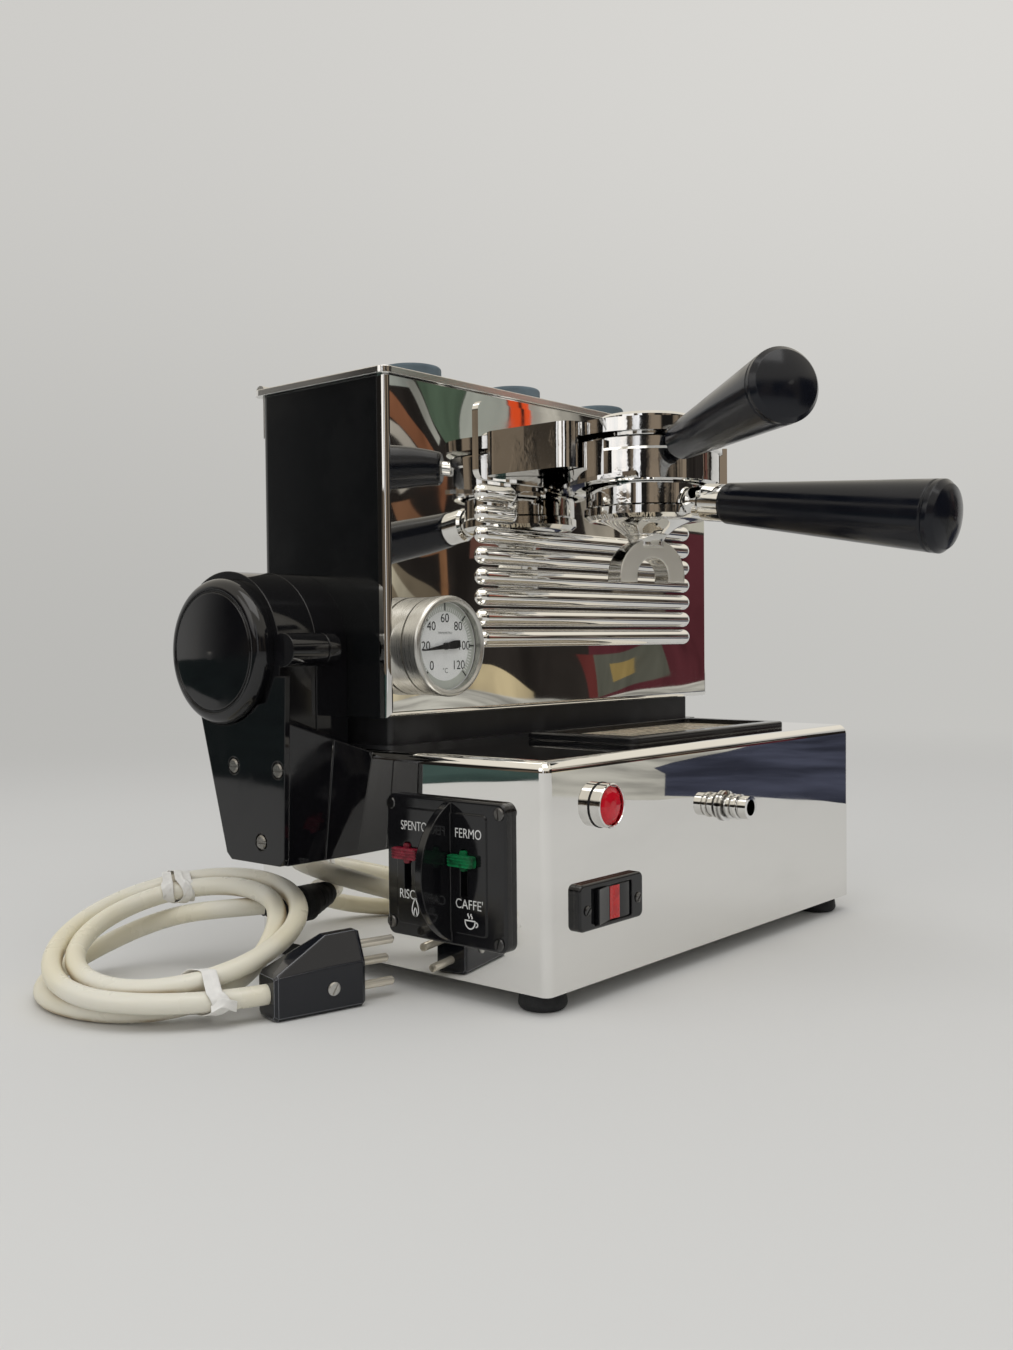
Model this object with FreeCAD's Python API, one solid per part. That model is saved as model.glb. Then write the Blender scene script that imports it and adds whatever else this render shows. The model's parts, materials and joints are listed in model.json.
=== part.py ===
"""Small espresso machine: steel base, boiler casing with a ribbed front, lever-locked group, pump motor, mains cord.

Lengths are millimetres. The bench frame used while modelling has x along the front, y to the back and z up,
with zero on the floor under the front left corner of the base. Every piece is shifted at the end so that
the origin lies on the floor in the middle of the machine.
"""

import FreeCAD
import Part
import math
import os

V = FreeCAD.Vector
UP = V(0, 0, 1)
TURN = 360.0

# Base box
base_width = 288.0
base_depth = 190.0
base_bottom = 9.0
base_top = 110.0
sheet = 1.5
base_corner = 4.0
base_top_round = 5.0
foot_radius = 11.0
foot_inset = 14.0

# Upper casing
casing_width = 283.0
casing_front = 99.5
casing_back = 184.5
casing_bottom = 125.3
casing_top = 286.4
panel_front = 94.0
panel_edge_round = 3.0
pad_left = 63.0
pad_right = 259.0
pad_low = 243.0
pad_rise = 2.0
rib_count = 8
rib_pitch = 10.55
rib_first_z = 236.5
rib_radius = 4.6
rib_sink = 0.3
short_rib_count = 2
rib_gap_left = 93.0
rib_gap_right = 207.0

# Lid and its hinge
lid_low = 286.6
lid_thick = 2.4
lid_overhang = 3.0
lid_front = 91.6
hinge_y = 188.3
hinge_z = 290.2
hinge_barrel = 3.2
hinge_pin = 1.5
hinge_fit = 0.07
hinge_starts = (3.0, 240.0)
knuckle_length = 20.0
knuckle_gap = 0.4
buffer_radius = 15.2
buffer_height = 9.4
buffer_y = 118.0
buffer_xs = (42.0, 121.0, 200.0)

# Group
group_x = 150.0
group_y = 50.0
arm_left = 99.0
arm_right = 201.0
arm_low = 250.0
arm_top = 273.5
slab_low = 266.5
slab_radius = 42.0
cap_radius = 25.0
cap_top = 279.0
ring_radius = 39.0
ring_low = 242.0
ring_top = 264.5
ear_radius = 43.5
ear_angle = 158.0
ear_spread = 54.0
body_radius = 32.0
rim_top = 249.2
skirt_low = 231.0
band_low = 224.0
bowl_low = 217.0
spout_outer = 19.5
spout_inner = 9.5
spout_width = 14.0
spout_centre_z = 195.0
spout_low = 191.5
spout_turn = -25.0
clamp_turn = -32.9
filter_turn = -4.0
clamp_axis_z = 256.4
clamp_rise = 0.08
clamp_grip_start = 46.0
clamp_grip_length = 109.0
filter_axis_z = 236.4
filter_rise = -0.13
filter_grip_start = 51.7
filter_grip_length = 121.5
grip_wide = 16.8

# Thermometer
gauge_x = 25.0
gauge_z = 159.0
gauge_radius = 24.0
gauge_front = 76.0
needle_turn = 182.0

# Boiler inside the casing
boiler_y = 140.0
boiler_z = 165.0
boiler_radius = 30.0
boiler_left = 14.0
boiler_right = 258.0

# Pump motor on the left side
motor_y = 160.0
motor_z = 157.5
motor_radius = 38.0
motor_seam = -20.0
motor_outer = -42.0
motor_cap_radius = 34.5
motor_cap_face = -51.0
terminal_low = 59.0
terminal_screw_spots = ((152.5, 103.5), (120.6, 103.0), (133.0, 69.0))
terminal_screw_sink = 1.0

# Switches and fittings on the base
control_front = 19.3
control_back = 91.8
control_low = 25.6
control_high = 91.0
control_thick = 4.0
fin_y = 53.4
fin_sag = 19.5
slider_travel = 12.0
pilot_x = 39.6
pilot_z = 87.8
barb_x = 145.6
barb_z = 76.4
barb_reach = 15.0
barb_ring_starts = (3.6, 7.6)
barb_tip_radius = 5.9
barb_tip_length = 4.0
switch_left = 18.4
switch_right = 66.6
switch_low = 34.0
switch_high = 54.8
switch_thick = 3.5
slider_ys = (78.0, 43.2)
slider_z = 64.2
control_screw_spots = ((88.6, 86.6), (22.8, 86.4), (88.8, 31.4), (23.2, 29.6))
control_screw_turns = (80.0, 95.0, 90.0, 75.0)
switch_screw_xs = (23.8, 62.5)
switch_screw_turn = 45.0
rocker_x = 43.1
rocker_z = 44.0
rocker_pivot = 1.5
rocker_swing = 14.0

# Drip tray
tray_left = 91.0
tray_right = 241.0
tray_front = 17.0
tray_back = 86.0
tray_rim_top = 113.8
tray_floor = 90.0
tray_wall = 2.0
tray_frame = 7.5
grid_sink = 3.9
grid_columns = 22
grid_rows = 9

# Mains cord
cord_radius = 4.5
cord_tail = 6.0
gland_y = 156.0
gland_z = 30.5
gland_reach = 22.0
gland_aim = V(-1.0, 0.26, 0.08)
lead_stations = (
    (-26.4, 162.9, 32.6, 165.5), (-38.2, 170.7, 31.8, 128.0), (-42.9, 184.2, 28.8, 92.0),
    (-46.5, 198.0, 24.6, 112.0), (-54.4, 210.2, 20.0, 134.0), (-66.2, 218.5, 15.2, 156.0),
    (-80.4, 221.8, 10.6, 178.0), (-94.7, 219.5, 6.4, 200.0),
)
coil_x = -71.1
coil_y = 157.5
coil_bearing = -46.4
coil_slope = 0.27
coil_tilt = 0.11
coil_low_x = -130.0
coil_low_z = 13.0
floor_loop_radius = 64.5
floor_loop_drift = -10.5
inner_loop_radius = 42.1
loop_step = 10.0
coil_start = 0.5
coil_end = 2.845
plug_drift = V(4.0, -2.0, 0)
steps_per_turn = 8
plug_length = 44.0
pin_length = 19.0
pin_radius = 2.0
pin_spread = 9.5
plug_cord_z = 11.0
plug_middle_z = 16.5
plug_half = 8.4
plug_top = 33.0
tie_width = 11.0
tie_thick = 0.9
tie_room = 2.2


def block(x0, x1, y0, y1, z0, z1):
    return Part.makeBox(x1 - x0, y1 - y0, z1 - z0, V(x0, y0, z0))


def rod(start, direction, radius, length):
    return Part.makeCylinder(radius, length, start, direction)


def flat(a, b):
    return V(a, b, 0)


def upright(a, b):
    return V(a, 0, b)


def outline(to_point, start, *steps):
    """Closed wire: a step is an end point, or a middle and an end point of an arc."""
    edges = []
    here = start
    for step in steps + (start,):
        if isinstance(step[0], tuple):
            middle, end = step
            edges.append(Part.Arc(to_point(*here), to_point(*middle), to_point(*end)).toShape())
        else:
            end = step
            if end != here:
                edges.append(Part.LineSegment(to_point(*here), to_point(*end)).toShape())
        here = end
    return Part.Wire(edges)


def rounded(x0, x1, y0, y1, radius):
    """Rectangle with quarter-round corners in the flat plane."""
    bulge = radius * (1 - math.sqrt(0.5))
    return outline(
        flat,
        (x0 + radius, y0),
        (x1 - radius, y0),
        ((x1 - bulge, y0 + bulge), (x1, y0 + radius)),
        (x1, y1 - radius),
        ((x1 - bulge, y1 - bulge), (x1 - radius, y1)),
        (x0 + radius, y1),
        ((x0 + bulge, y1 - bulge), (x0, y1 - radius)),
        (x0, y0 + radius),
        ((x0 + bulge, y0 + bulge), (x0 + radius, y0)),
    )


def slab(x0, x1, y0, y1, radius, z0, z1):
    """Plate with rounded corners, standing on z0."""
    plate = Part.Face(rounded(x0, x1, y0, y1, radius)).extrude(V(0, 0, z1 - z0))
    plate.translate(V(0, 0, z0))
    return plate


def turned(start, *steps):
    """Solid turned about the z axis from a half section given as radius and height."""
    return Part.Face(outline(upright, start, *steps)).revolve(V(0, 0, 0), UP, TURN)


def dome(radius, low, high):
    """Middle and end point of a spherical cap from a rim up to the axis."""
    rise = high - low
    ball = (radius * radius + rise * rise) / (2 * abs(rise))
    half = math.asin(radius / ball) / 2
    side = math.copysign(1.0, rise)
    return (ball * math.sin(half), high - side * ball * (1 - math.cos(half))), (0, high)


def aimed(shape, start, direction):
    """Moves a shape so that its z axis runs from start along a direction."""
    placed = shape.copy()
    placed.Placement = FreeCAD.Placement(start, FreeCAD.Rotation(UP, direction)).multiply(shape.Placement)
    return placed


def in_axes(shape, across, upward, ahead, start):
    """Moves a shape from the x, y and z axes to three given directions at a start point."""
    matrix = FreeCAD.Matrix(
        across.x, upward.x, ahead.x, start.x,
        across.y, upward.y, ahead.y, start.y,
        across.z, upward.z, ahead.z, start.z,
        0, 0, 0, 1,
    )
    placed = shape.copy()
    placed.Placement = FreeCAD.Placement(matrix).multiply(shape.Placement)
    return placed


def on_front(shape, x, y, z):
    """Stands a flat shape on the front: its x stays, its y goes up and its z points at the user."""
    placed = shape.copy()
    placed.rotate(V(0, 0, 0), V(1, 0, 0), 90)
    placed.translate(V(x, y, z))
    return placed


def on_left(shape, x, y, z):
    """Stands a flat shape on the left side: its x runs to the front, its y goes up and its z points left."""
    placed = shape.copy()
    placed.rotate(V(0, 0, 0), V(1, 0, 0), 90)
    placed.rotate(V(0, 0, 0), UP, -90)
    placed.translate(V(x, y, z))
    return placed


def edges_where(shape, test):
    return [edge for edge in shape.Edges if test(edge.BoundBox)]


def slotted_screw(radius, height, slot=1.2):
    """Cheese-head screw with a straight slot, standing on z 0."""
    head = turned((0, 0), (radius, 0), (radius, height * 0.6), (radius * 0.8, height), (0, height))
    groove = block(-radius, radius, -slot / 2, slot / 2, height * 0.55, height * 2)
    return head.cut(groove)


def base_housing():
    """Folded steel box, open below, with its cut-outs."""
    def shell(inset, corner, top_round):
        low = base_bottom - (1.0 if inset else 0.0)
        body = slab(inset, base_width - inset, inset, base_depth - inset, corner, low, base_top - inset)
        top = edges_where(body, lambda b: b.ZMin > base_top - inset - 0.01)
        return body.makeFillet(top_round, top)

    box = shell(0.0, base_corner, base_top_round).cut(
        shell(sheet, base_corner - sheet, base_top_round - sheet)
    )
    gap = 1.0
    well = block(
        tray_left + 5 - gap, tray_right - 5 + gap, tray_front + 5 - gap, tray_back - 5 + gap,
        base_top - 3, base_top + 1,
    )
    pilot = rod(V(pilot_x, -1, pilot_z), V(0, 1, 0), 7.2, 4)
    barb = rod(V(barb_x, -1, barb_z), V(0, 1, 0), 6.2, 4)
    rocker = block(switch_left + 8.5, switch_right - 8.5, -1, 3, switch_low + 1.5, switch_high - 1.5)
    control = block(-1, 3, control_front + 8, control_back - 4, control_low + 8, control_high - 8)
    gland = rod(V(-1, gland_y, gland_z), V(1, 0, 0), 6.2, 4)
    return box.cut([well, pilot, barb, rocker, control, gland])


def base_plate():
    """Flat bottom that closes the steel box."""
    inset = sheet + 0.2
    return slab(inset, base_width - inset, inset, base_depth - inset, 2.3, base_bottom, base_bottom + 2)


def rubber_feet():
    foot = turned(
        (0, 0), (foot_radius - 3, 0), ((foot_radius - 0.9, 0.9), (foot_radius, 3)),
        (foot_radius - 1, base_bottom), (0, base_bottom),
    )
    spots = [
        V(x, y, 0)
        for x in (foot_inset, base_width - foot_inset)
        for y in (foot_inset, base_depth - foot_inset)
    ]
    return Part.makeCompound([foot.translated(spot) for spot in spots])


def plinth():
    """Black frame between the base and the casing, with a thin foot flange."""
    left, right, front, back = 7.0, 269.0, 100.0, 183.0
    wall = 5.0
    upper = slab(left, right, front, back, 3, base_top, casing_bottom)
    flange = slab(left - 4, right + 4, front - 4, back + 3, 3, base_top, base_top + 2)
    hollow = slab(left + wall, right - wall, front + wall, back - wall, 2, base_top - 1, casing_bottom + 1)
    return upper.fuse(flange).cut(hollow).removeSplitter()


def boiler_casing():
    """Black casing: two sides, back and floor, open to the front and top."""
    outer = slab(0, casing_width, casing_front - 10, casing_back, 5, casing_bottom, casing_top)
    inner = slab(
        sheet, casing_width - sheet, casing_front - 20, casing_back - sheet, 3.5,
        casing_bottom + sheet, casing_top + 1,
    )
    ahead = block(-1, casing_width + 1, casing_front - 30, casing_front, casing_bottom - 1, casing_top + 1)
    side_x = V(-1, 0, 0)
    supply = rod(V(3, 150, 165), side_x, 3.4, 5)
    suction = rod(V(3, 176, 150), side_x, 3.4, 5)
    return outer.cut([inner, ahead, supply, suction])


def half_rib(left, right, z):
    """Half-round bead with ball ends, pressed out of the panel."""
    r = rib_radius
    bend = r * math.sqrt(0.5)
    y = panel_front + rib_sink

    def upper(x, rise):
        return V(x, y, z + rise)

    profile = outline(
        upper, (left, 0), ((left + r - bend, bend), (left + r, r)), (right - r, r),
        ((right - r + bend, bend), (right, 0)),
    )
    return Part.Face(profile).revolve(V(left, y, z), V(1, 0, 0), TURN / 2)


def front_panel():
    """Polished front: a shallow pan with a raised pad and a row of half-round ribs."""
    def pan(inset):
        room = 1.0 if inset else 0.0
        body = block(
            inset, casing_width - inset, panel_front + inset, casing_front + room,
            casing_bottom + inset, casing_top + room,
        )
        face_edges = edges_where(
            body, lambda b: b.YMax < panel_front + inset + 0.01 and b.ZMin < casing_top - 1
        )
        return body.makeFillet(panel_edge_round - inset, face_edges)

    pad = on_front(
        slab(pad_left, pad_right, pad_low, casing_top - 4, 5, 0, pad_rise + 0.5), 0, panel_front + 0.5, 0
    )
    solids = [pad]
    for index in range(rib_count):
        z = rib_first_z - index * rib_pitch
        if index < short_rib_count:
            solids += [half_rib(pad_left, rib_gap_left, z), half_rib(rib_gap_right, pad_right, z)]
        else:
            solids.append(half_rib(pad_left, pad_right, z))
    panel = pan(0.0).cut(pan(sheet)).fuse(solids).removeSplitter()
    stem = rod(V(gauge_x, panel_front - 5, gauge_z), V(0, 1, 0), 3.3, 10)
    pipe = rod(V(group_x, panel_front - 5, 258), V(0, 1, 0), 3.3, 10)
    return panel.cut([stem, pipe])


def hinge_spans(first):
    """Start and length of each hinge's knuckle: first on the casing, then on the lid."""
    shift = 0.0 if first else knuckle_length + knuckle_gap
    left, right = hinge_starts
    mirrored = right + (0.0 if not first else knuckle_length + knuckle_gap)
    return ((left + shift, knuckle_length), (mirrored, knuckle_length))


def barrel(start, length, bore):
    outer = rod(V(start, hinge_y, hinge_z), V(1, 0, 0), hinge_barrel, length)
    return outer.cut(rod(V(start - 1, hinge_y, hinge_z), V(1, 0, 0), bore, length + 2))


def top_lid():
    """Thin lid with a turned-up rim and its hinge knuckles."""
    left, right = -lid_overhang, casing_width + lid_overhang
    back = casing_back + lid_overhang
    plate = slab(left, right, lid_front, back, 5, lid_low, lid_low + lid_thick)
    rim = slab(left, right, lid_front, back, 5, lid_low + lid_thick, lid_low + lid_thick + 0.8).cut(
        slab(left + 2, right - 2, lid_front + 2, back - 2, 3.5, lid_low, lid_low + lid_thick + 2)
    )
    lid = plate.fuse(rim)
    notches = [
        block(start - 0.6, start + length + 0.6, casing_back - 0.3, back + 5, lid_low - 1, lid_low + 9)
        for start, length in hinge_spans(True)
    ]
    lid = lid.cut(notches)
    for start, length in hinge_spans(False):
        foot = block(start, start + length, back - 3, hinge_y, lid_low, lid_low + lid_thick)
        pin_room = rod(V(start - 1, hinge_y, hinge_z), V(1, 0, 0), hinge_pin + hinge_fit, length + 2)
        lid = lid.fuse([foot, barrel(start, length, hinge_pin + hinge_fit)]).cut(pin_room)
    return lid.removeSplitter()


def lid_hinges():
    """Hinge halves on the back of the casing, each with its pin."""
    halves = []
    pin_length = 2 * knuckle_length + knuckle_gap
    for (start, length), pin_start in zip(hinge_spans(True), hinge_starts):
        leaf = block(start, start + length, casing_back, casing_back + 1.5, hinge_z - 24, hinge_z)
        bridge = block(start, start + length, casing_back, hinge_y, hinge_z - 3.0, hinge_z - 1.2)
        knuckle = rod(V(start, hinge_y, hinge_z), V(1, 0, 0), hinge_barrel, length)
        pin = rod(V(pin_start, hinge_y, hinge_z), V(1, 0, 0), hinge_pin, pin_length)
        halves.append(leaf.fuse([bridge, knuckle, pin]).removeSplitter())
    return Part.makeCompound(halves)


def lid_buffers():
    """Rubber cup rests on the lid."""
    top = buffer_height
    puck = turned(
        (0, 0), (buffer_radius, 0), (buffer_radius, top - 1.6),
        ((buffer_radius - 0.5, top - 0.5), (buffer_radius - 1.6, top)), (0, top),
    )
    lowest = lid_low + lid_thick
    return Part.makeCompound([puck.translated(V(x, buffer_y, lowest)) for x in buffer_xs])


# Water side inside the casing


def boiler():
    """Closed copper drum with domed ends, lying along the casing."""
    def drum(inset):
        radius = boiler_radius - inset
        left, right = boiler_left + inset, boiler_right - inset
        bulge = 9.0
        middle, _ = dome(radius, left + bulge, left)
        half = turned(
            (0, left), (middle, (radius, left + bulge)), (radius, right - bulge),
            dome(radius, right - bulge, right),
        )
        return aimed(half, V(0, boiler_y, boiler_z), V(1, 0, 0))

    well = rod(V(gauge_x, boiler_y - 40, gauge_z), V(0, 1, 0), 3.3, 30)
    seat = rod(V(boiler_right - 12, boiler_y, boiler_z), V(1, 0, 0), 14.3, 20)
    inlet = rod(V(boiler_left - 5, 150, 165), V(1, 0, 0), 3.1, 12)
    outlet = rod(V(group_x, boiler_y - 32, 170), V(0, 1, 0), 3.1, 8)
    return drum(0).cut(drum(2)).cut([well, seat, inlet, outlet])


def bent_rod(points, radius):
    """Tube of straight runs joined by arcs as large as the shorter run allows."""
    edges = rounded_route(points)[0]
    return swept_tube(edges, radius)


def rounded_route(points):
    """Edges, arc radii and length of a route whose corners are tangent arcs."""
    edges, radii = [], []
    here = points[0]
    for before, corner, after in zip(points, points[1:], points[2:]):
        inward = (before - corner).normalize()
        onward = (after - corner).normalize()
        shorter = min((before - corner).Length, (after - corner).Length)
        cut_back = 0.45 * shorter
        half_turn = (math.pi - inward.getAngle(onward)) / 2
        radius = cut_back / math.tan(half_turn)
        start = corner + inward * cut_back
        end = corner + onward * cut_back
        to_middle = (inward + onward).normalize()
        middle = corner + to_middle * (radius / math.cos(half_turn) - radius)
        edges.append(Part.LineSegment(here, start).toShape())
        edges.append(Part.Arc(start, middle, end).toShape())
        radii.append(radius)
        here = end
    edges.append(Part.LineSegment(here, points[-1]).toShape())
    return edges, sum(edge.Length for edge in edges), radii


def swept_tube(edges, radius):
    """Round tube along a chain of tangent edges."""
    path = Part.Wire(edges)
    first = edges[0]
    heading = first.tangentAt(first.FirstParameter)
    section = Part.Wire([Part.makeCircle(radius, first.valueAt(first.FirstParameter), heading)])
    return path.makePipeShell([section], True, False)


def heating_element():
    """Hairpin heater on a flange that closes the boiler's right end."""
    head = rod(V(boiler_right - 9, boiler_y, boiler_z), V(1, 0, 0), 14.0, 12)
    face = boiler_right - 9
    hairpin = bent_rod(
        [
            V(face, boiler_y, boiler_z - 9), V(120, boiler_y, boiler_z - 9), V(60, boiler_y, boiler_z - 9.5),
            V(50, boiler_y, boiler_z), V(60, boiler_y, boiler_z + 9.5), V(120, boiler_y, boiler_z + 9),
            V(face, boiler_y, boiler_z + 9),
        ],
        3.2,
    )
    return head.fuse(hairpin)


def water_tank():
    """Open tank under the lid."""
    def tub(inset, low, high):
        return slab(12 + inset, 271 - inset, 105 + inset, 181 - inset, 6 - inset, low, high)

    drain = rod(V(18, 176, 195), UP, 3.1, 20)
    return tub(0, 202, 280).cut(tub(1.5, 203.5, 290)).cut(drain)


def group_pipe():
    """Brew pipe from the boiler up to the group."""
    x = group_x
    return bent_rod([V(x, 112.5, 170), V(x, 100, 170), V(x, 100, 258), V(x, panel_front - pad_rise, 258)], 3.0)


def pump_pipes():
    """Supply pipe into the boiler and suction pipe down from the tank."""
    supply = rod(V(-1.5, 150, 165), V(1, 0, 0), 3.0, boiler_left + 3.5)
    suction = bent_rod([V(18, 176, 205), V(18, 176, 150), V(-1.5, 176, 150)], 3.0)
    return Part.makeCompound([supply, suction])


def gauge_case():
    """Steel cup of the thermometer with its rolled bezel."""
    depth = panel_front - gauge_front
    r = gauge_radius
    cup = turned(
        (0, 0), (r - 0.5, 0), (r - 0.5, 6.6), (r - 1.7, 6.8), (r - 1.7, 7.7), (r - 0.3, 7.9), (r, depth - 2.5),
        ((r - 0.5, depth - 0.6), (r - 1.8, depth)), (r - 3, depth - 0.6), (r - 3, depth - 3.6),
        (r - 2.2, depth - 3.6), (r - 2.2, depth - 5.8), (0, depth - 5.8),
    )
    cup = on_front(cup, gauge_x, panel_front, gauge_z)
    return cup.cut(rod(V(gauge_x, panel_front - 14, gauge_z), V(0, 1, 0), 2.05, 22))


def gauge_dial():
    disc = rod(V(gauge_x, gauge_front + 5.8, gauge_z), V(0, -1, 0), gauge_radius - 2.5, 1.0)
    return disc.cut(rod(V(gauge_x, gauge_front + 10, gauge_z), V(0, -1, 0), 1.6, 8))


def gauge_glass():
    return rod(V(gauge_x, gauge_front + 2.2, gauge_z), V(0, -1, 0), gauge_radius - 3.1, 1.2)


def gauge_probe():
    """Sensor stem that reaches through the panel into the boiler."""
    bulb = rod(V(gauge_x, panel_front, gauge_z), V(0, 1, 0), 3.0, 34)
    return bulb.fuse(rod(V(gauge_x, panel_front - 12, gauge_z), V(0, 1, 0), 2.0, 14))


def gauge_needle():
    """Tapered pointer with a broad tail and a hub."""
    blade = Part.Face(
        outline(flat, (17.5, 0), (2, 1.1), (-4, 1.2), (-9, 1.7), (-9, -1.7), (-4, -1.2), (2, -1.1))
    ).extrude(V(0, 0, 0.5))
    hub = rod(V(0, 0, -1.9), UP, 1.45, 3.4)
    needle = blade.fuse(hub)
    needle.rotate(V(0, 0, 0), UP, needle_turn)
    return on_front(needle, gauge_x, gauge_front + 3.9, gauge_z)


def heading(angle):
    """Flat direction: zero points at the user, positive turns towards the right."""
    return V(math.sin(math.radians(angle)), -math.cos(math.radians(angle)), 0)


def group_arm():
    """Chrome bracket on the panel: two cheeks, a slab over the ring and a round cap."""
    back = panel_front - pad_rise
    front = group_y + 12
    axis = V(group_x, group_y, 0)
    tongue = slab(arm_left, arm_right, front, back + 20, 9, slab_low, arm_top)
    nose = rod(axis + UP * slab_low, UP, slab_radius, arm_top - slab_low)
    cheeks = slab(arm_left, arm_right, front, back + 20, 9, arm_low, slab_low + 0.5)
    cheeks = cheeks.cut(rod(axis + UP * (arm_low - 1), UP, ear_radius + 1.5, slab_low - arm_low + 1))
    cap = turned(
        (0, arm_top - 1), (cap_radius, arm_top - 1), (cap_radius, cap_top - 1.5),
        (cap_radius - 1.5, cap_top), (0, cap_top),
    ).translated(axis)
    arm = tongue.fuse([nose, cheeks, cap])
    return arm.cut(block(0, base_width, back, back + 40, arm_low - 5, cap_top + 5)).removeSplitter()


def group_head():
    """Bell that carries the ring: a neck and a flange."""
    bell = turned(
        (0, 252.5), (34.0, 252.5), (34.0, 259.0), (28.0, 259.0), (28.0, slab_low), (0, slab_low)
    )
    return bell.translated(V(group_x, group_y, 0))


def group_gasket():
    ring = turned((23.5, 249.6), (31.0, 249.6), (31.0, 252.5), (23.5, 252.5))
    return ring.translated(V(group_x, group_y, 0))


def shower_screen():
    disc = turned((0, 250.2), (22, 250.2), (22.8, 251.2), (22.8, 252.5), (0, 252.5))
    return disc.translated(V(group_x, group_y, 0))


def wedge(inner, outer, low, high, first, last):
    """Part of a ring between two bearings, counted anticlockwise from the right."""
    face = Part.Face(outline(upright, (inner, low), (outer, low), (outer, high), (inner, high)))
    face.rotate(V(0, 0, 0), UP, first)
    return face.revolve(V(0, 0, 0), UP, last - first)


def bayonet_ramp(first, last, low, climb):
    """Thin lip that climbs round the ring, drawn through radial sections."""
    inner, outer, thick, pieces = ring_radius - 1.0, ear_radius + 2.5, 2.2, 10
    wires = []
    for index in range(pieces + 1):
        share = index / pieces
        section = outline(upright, (inner, 0), (outer, 0), (outer, thick), (inner, thick))
        section.translate(V(0, 0, low + climb * share))
        section.rotate(V(0, 0, 0), UP, first + (last - first) * share)
        wires.append(section)
    return Part.makeLoft(wires, True, True)


def clamp_ring():
    """Bayonet ring: hooks over the bell's flange and lifts the filter holder's lugs."""
    r = ring_radius
    ring = turned(
        (34.2, ring_low), (r - 0.8, ring_low), (r, ring_low + 0.8), (r, ring_top - 7), (r + 1.5, ring_top - 6),
        (r + 1.5, ring_top - 1), (r + 0.5, ring_top), (28.4, ring_top), (28.4, 259.4), (34.5, 259.4),
        (34.5, 252.2), (37.8, 252.2), (37.8, 246.3), (34.2, 246.3),
    )
    half = ear_spread / 2
    pieces = []
    for middle in (ear_angle, ear_angle + 180):
        pieces.append(wedge(r - 1, ear_radius, ring_low - 0.5, ring_top - 2, middle - half, middle + half))
    pieces.append(bayonet_ramp(ear_angle - 36, ear_angle + 50, ring_low - 3.0, 4.5))
    pieces.append(bayonet_ramp(ear_angle + 142, ear_angle + 202, ring_low - 3.0, 3.5))
    return ring.fuse(pieces).removeSplitter().translated(V(group_x, group_y, 0))


def grip(length, narrow, wide):
    """Tapered handle with a rounded shoulder, a groove near the end and a domed cap."""
    groove = length - 9.0
    slope = (wide - narrow) / groove
    return turned(
        (0, 0), (narrow - 2, 0), ((narrow - 0.6, 0.6), (narrow, 2)), (narrow + slope * groove - 0.3, groove - 0.8),
        (wide - 1.0, groove), (wide - 0.2, groove + 0.8), (wide - 0.2, groove + 3.0),
        (wide - 2.2, groove + 5.6), dome(wide - 2.2, groove + 5.6, length),
    )


def handle_frame(turn, start, start_z, rise):
    """Start point and direction of a handle that leaves the group axis at a bearing."""
    direction = heading(turn) + UP * rise
    return V(group_x, group_y, start_z) + direction * start, direction


def clamp_neck():
    """Chrome stub from the ring to its grip."""
    start, direction = handle_frame(clamp_turn, ring_radius - 3, clamp_axis_z, clamp_rise)
    stub = aimed(turned((0, 0), (4.2, 0), (4.2, 12), (0, 12)), start, direction)
    bore = rod(V(group_x, group_y, 0), UP, ring_radius + 1.6, 400)
    end, _ = handle_frame(clamp_turn, clamp_grip_start, clamp_axis_z, clamp_rise)
    beyond = aimed(turned((0, 0), (30, 0), (30, 30), (0, 30)), end, direction)
    return stub.cut([bore, beyond])


def clamp_grip():
    start, direction = handle_frame(clamp_turn, clamp_grip_start, clamp_axis_z, clamp_rise)
    return aimed(grip(clamp_grip_length, 9.6, grip_wide), start, direction)


def filter_holder():
    """Filter holder: rim, skirt, band and funnel, with two bayonet lugs."""
    r = body_radius
    body = turned(
        (29.2, rim_top), (r, rim_top), (r, skirt_low), (r + 1, skirt_low - 1), (r + 1, band_low + 2),
        (r - 1.5, band_low), ((18, bowl_low + 4.2), (12, bowl_low)), (6.5, bowl_low),
        (6.5, bowl_low + 4), ((16, 224), (26, band_low + 6)), (26, 235), (29.2, 235),
    )
    lugs = [wedge(r - 1.5, 37.4, 246.7, 251.8 - 2.8, a - 20, a + 20) for a in (0, 180)]
    start, direction = handle_frame(0, r - 6, filter_axis_z, filter_rise)
    socket = aimed(turned((0, 0), (7.5, 0), (7.5, 12), (0, 12)), start, direction)
    socket.translate(V(-group_x, -group_y, 0))
    hollow = turned((0, 200), (6.5, 200), (6.5, 221), (26, 230), (26, 235), (29.2, 235), (29.2, 300), (0, 300))
    holder = body.fuse(lugs + [socket]).cut(hollow).removeSplitter()
    holder.rotate(V(0, 0, 0), UP, filter_turn)
    return holder.translated(V(group_x, group_y, 0))


def filter_basket():
    """Pressed basket that hangs in the holder's rim."""
    cup = turned(
        (26.5, 249.0), (28.9, 249.0), (28.9, 247.8), (27.0, 247.8), (25.4, 235.8), (0, 235.8), (0, 236.6),
        (24.7, 236.6), (26.2, 247.8),
    )
    return cup.translated(V(group_x, group_y, 0))


def filter_neck():
    """Chrome collar between the holder and its grip."""
    start, direction = handle_frame(filter_turn, body_radius + 6.2, filter_axis_z, filter_rise)
    length = (filter_grip_start - body_radius - 6.2) * direction.Length
    return aimed(turned((0, 0), (8.5, 0), (9.6, 2), (9.6, length), (0, length)), start, direction)


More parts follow.
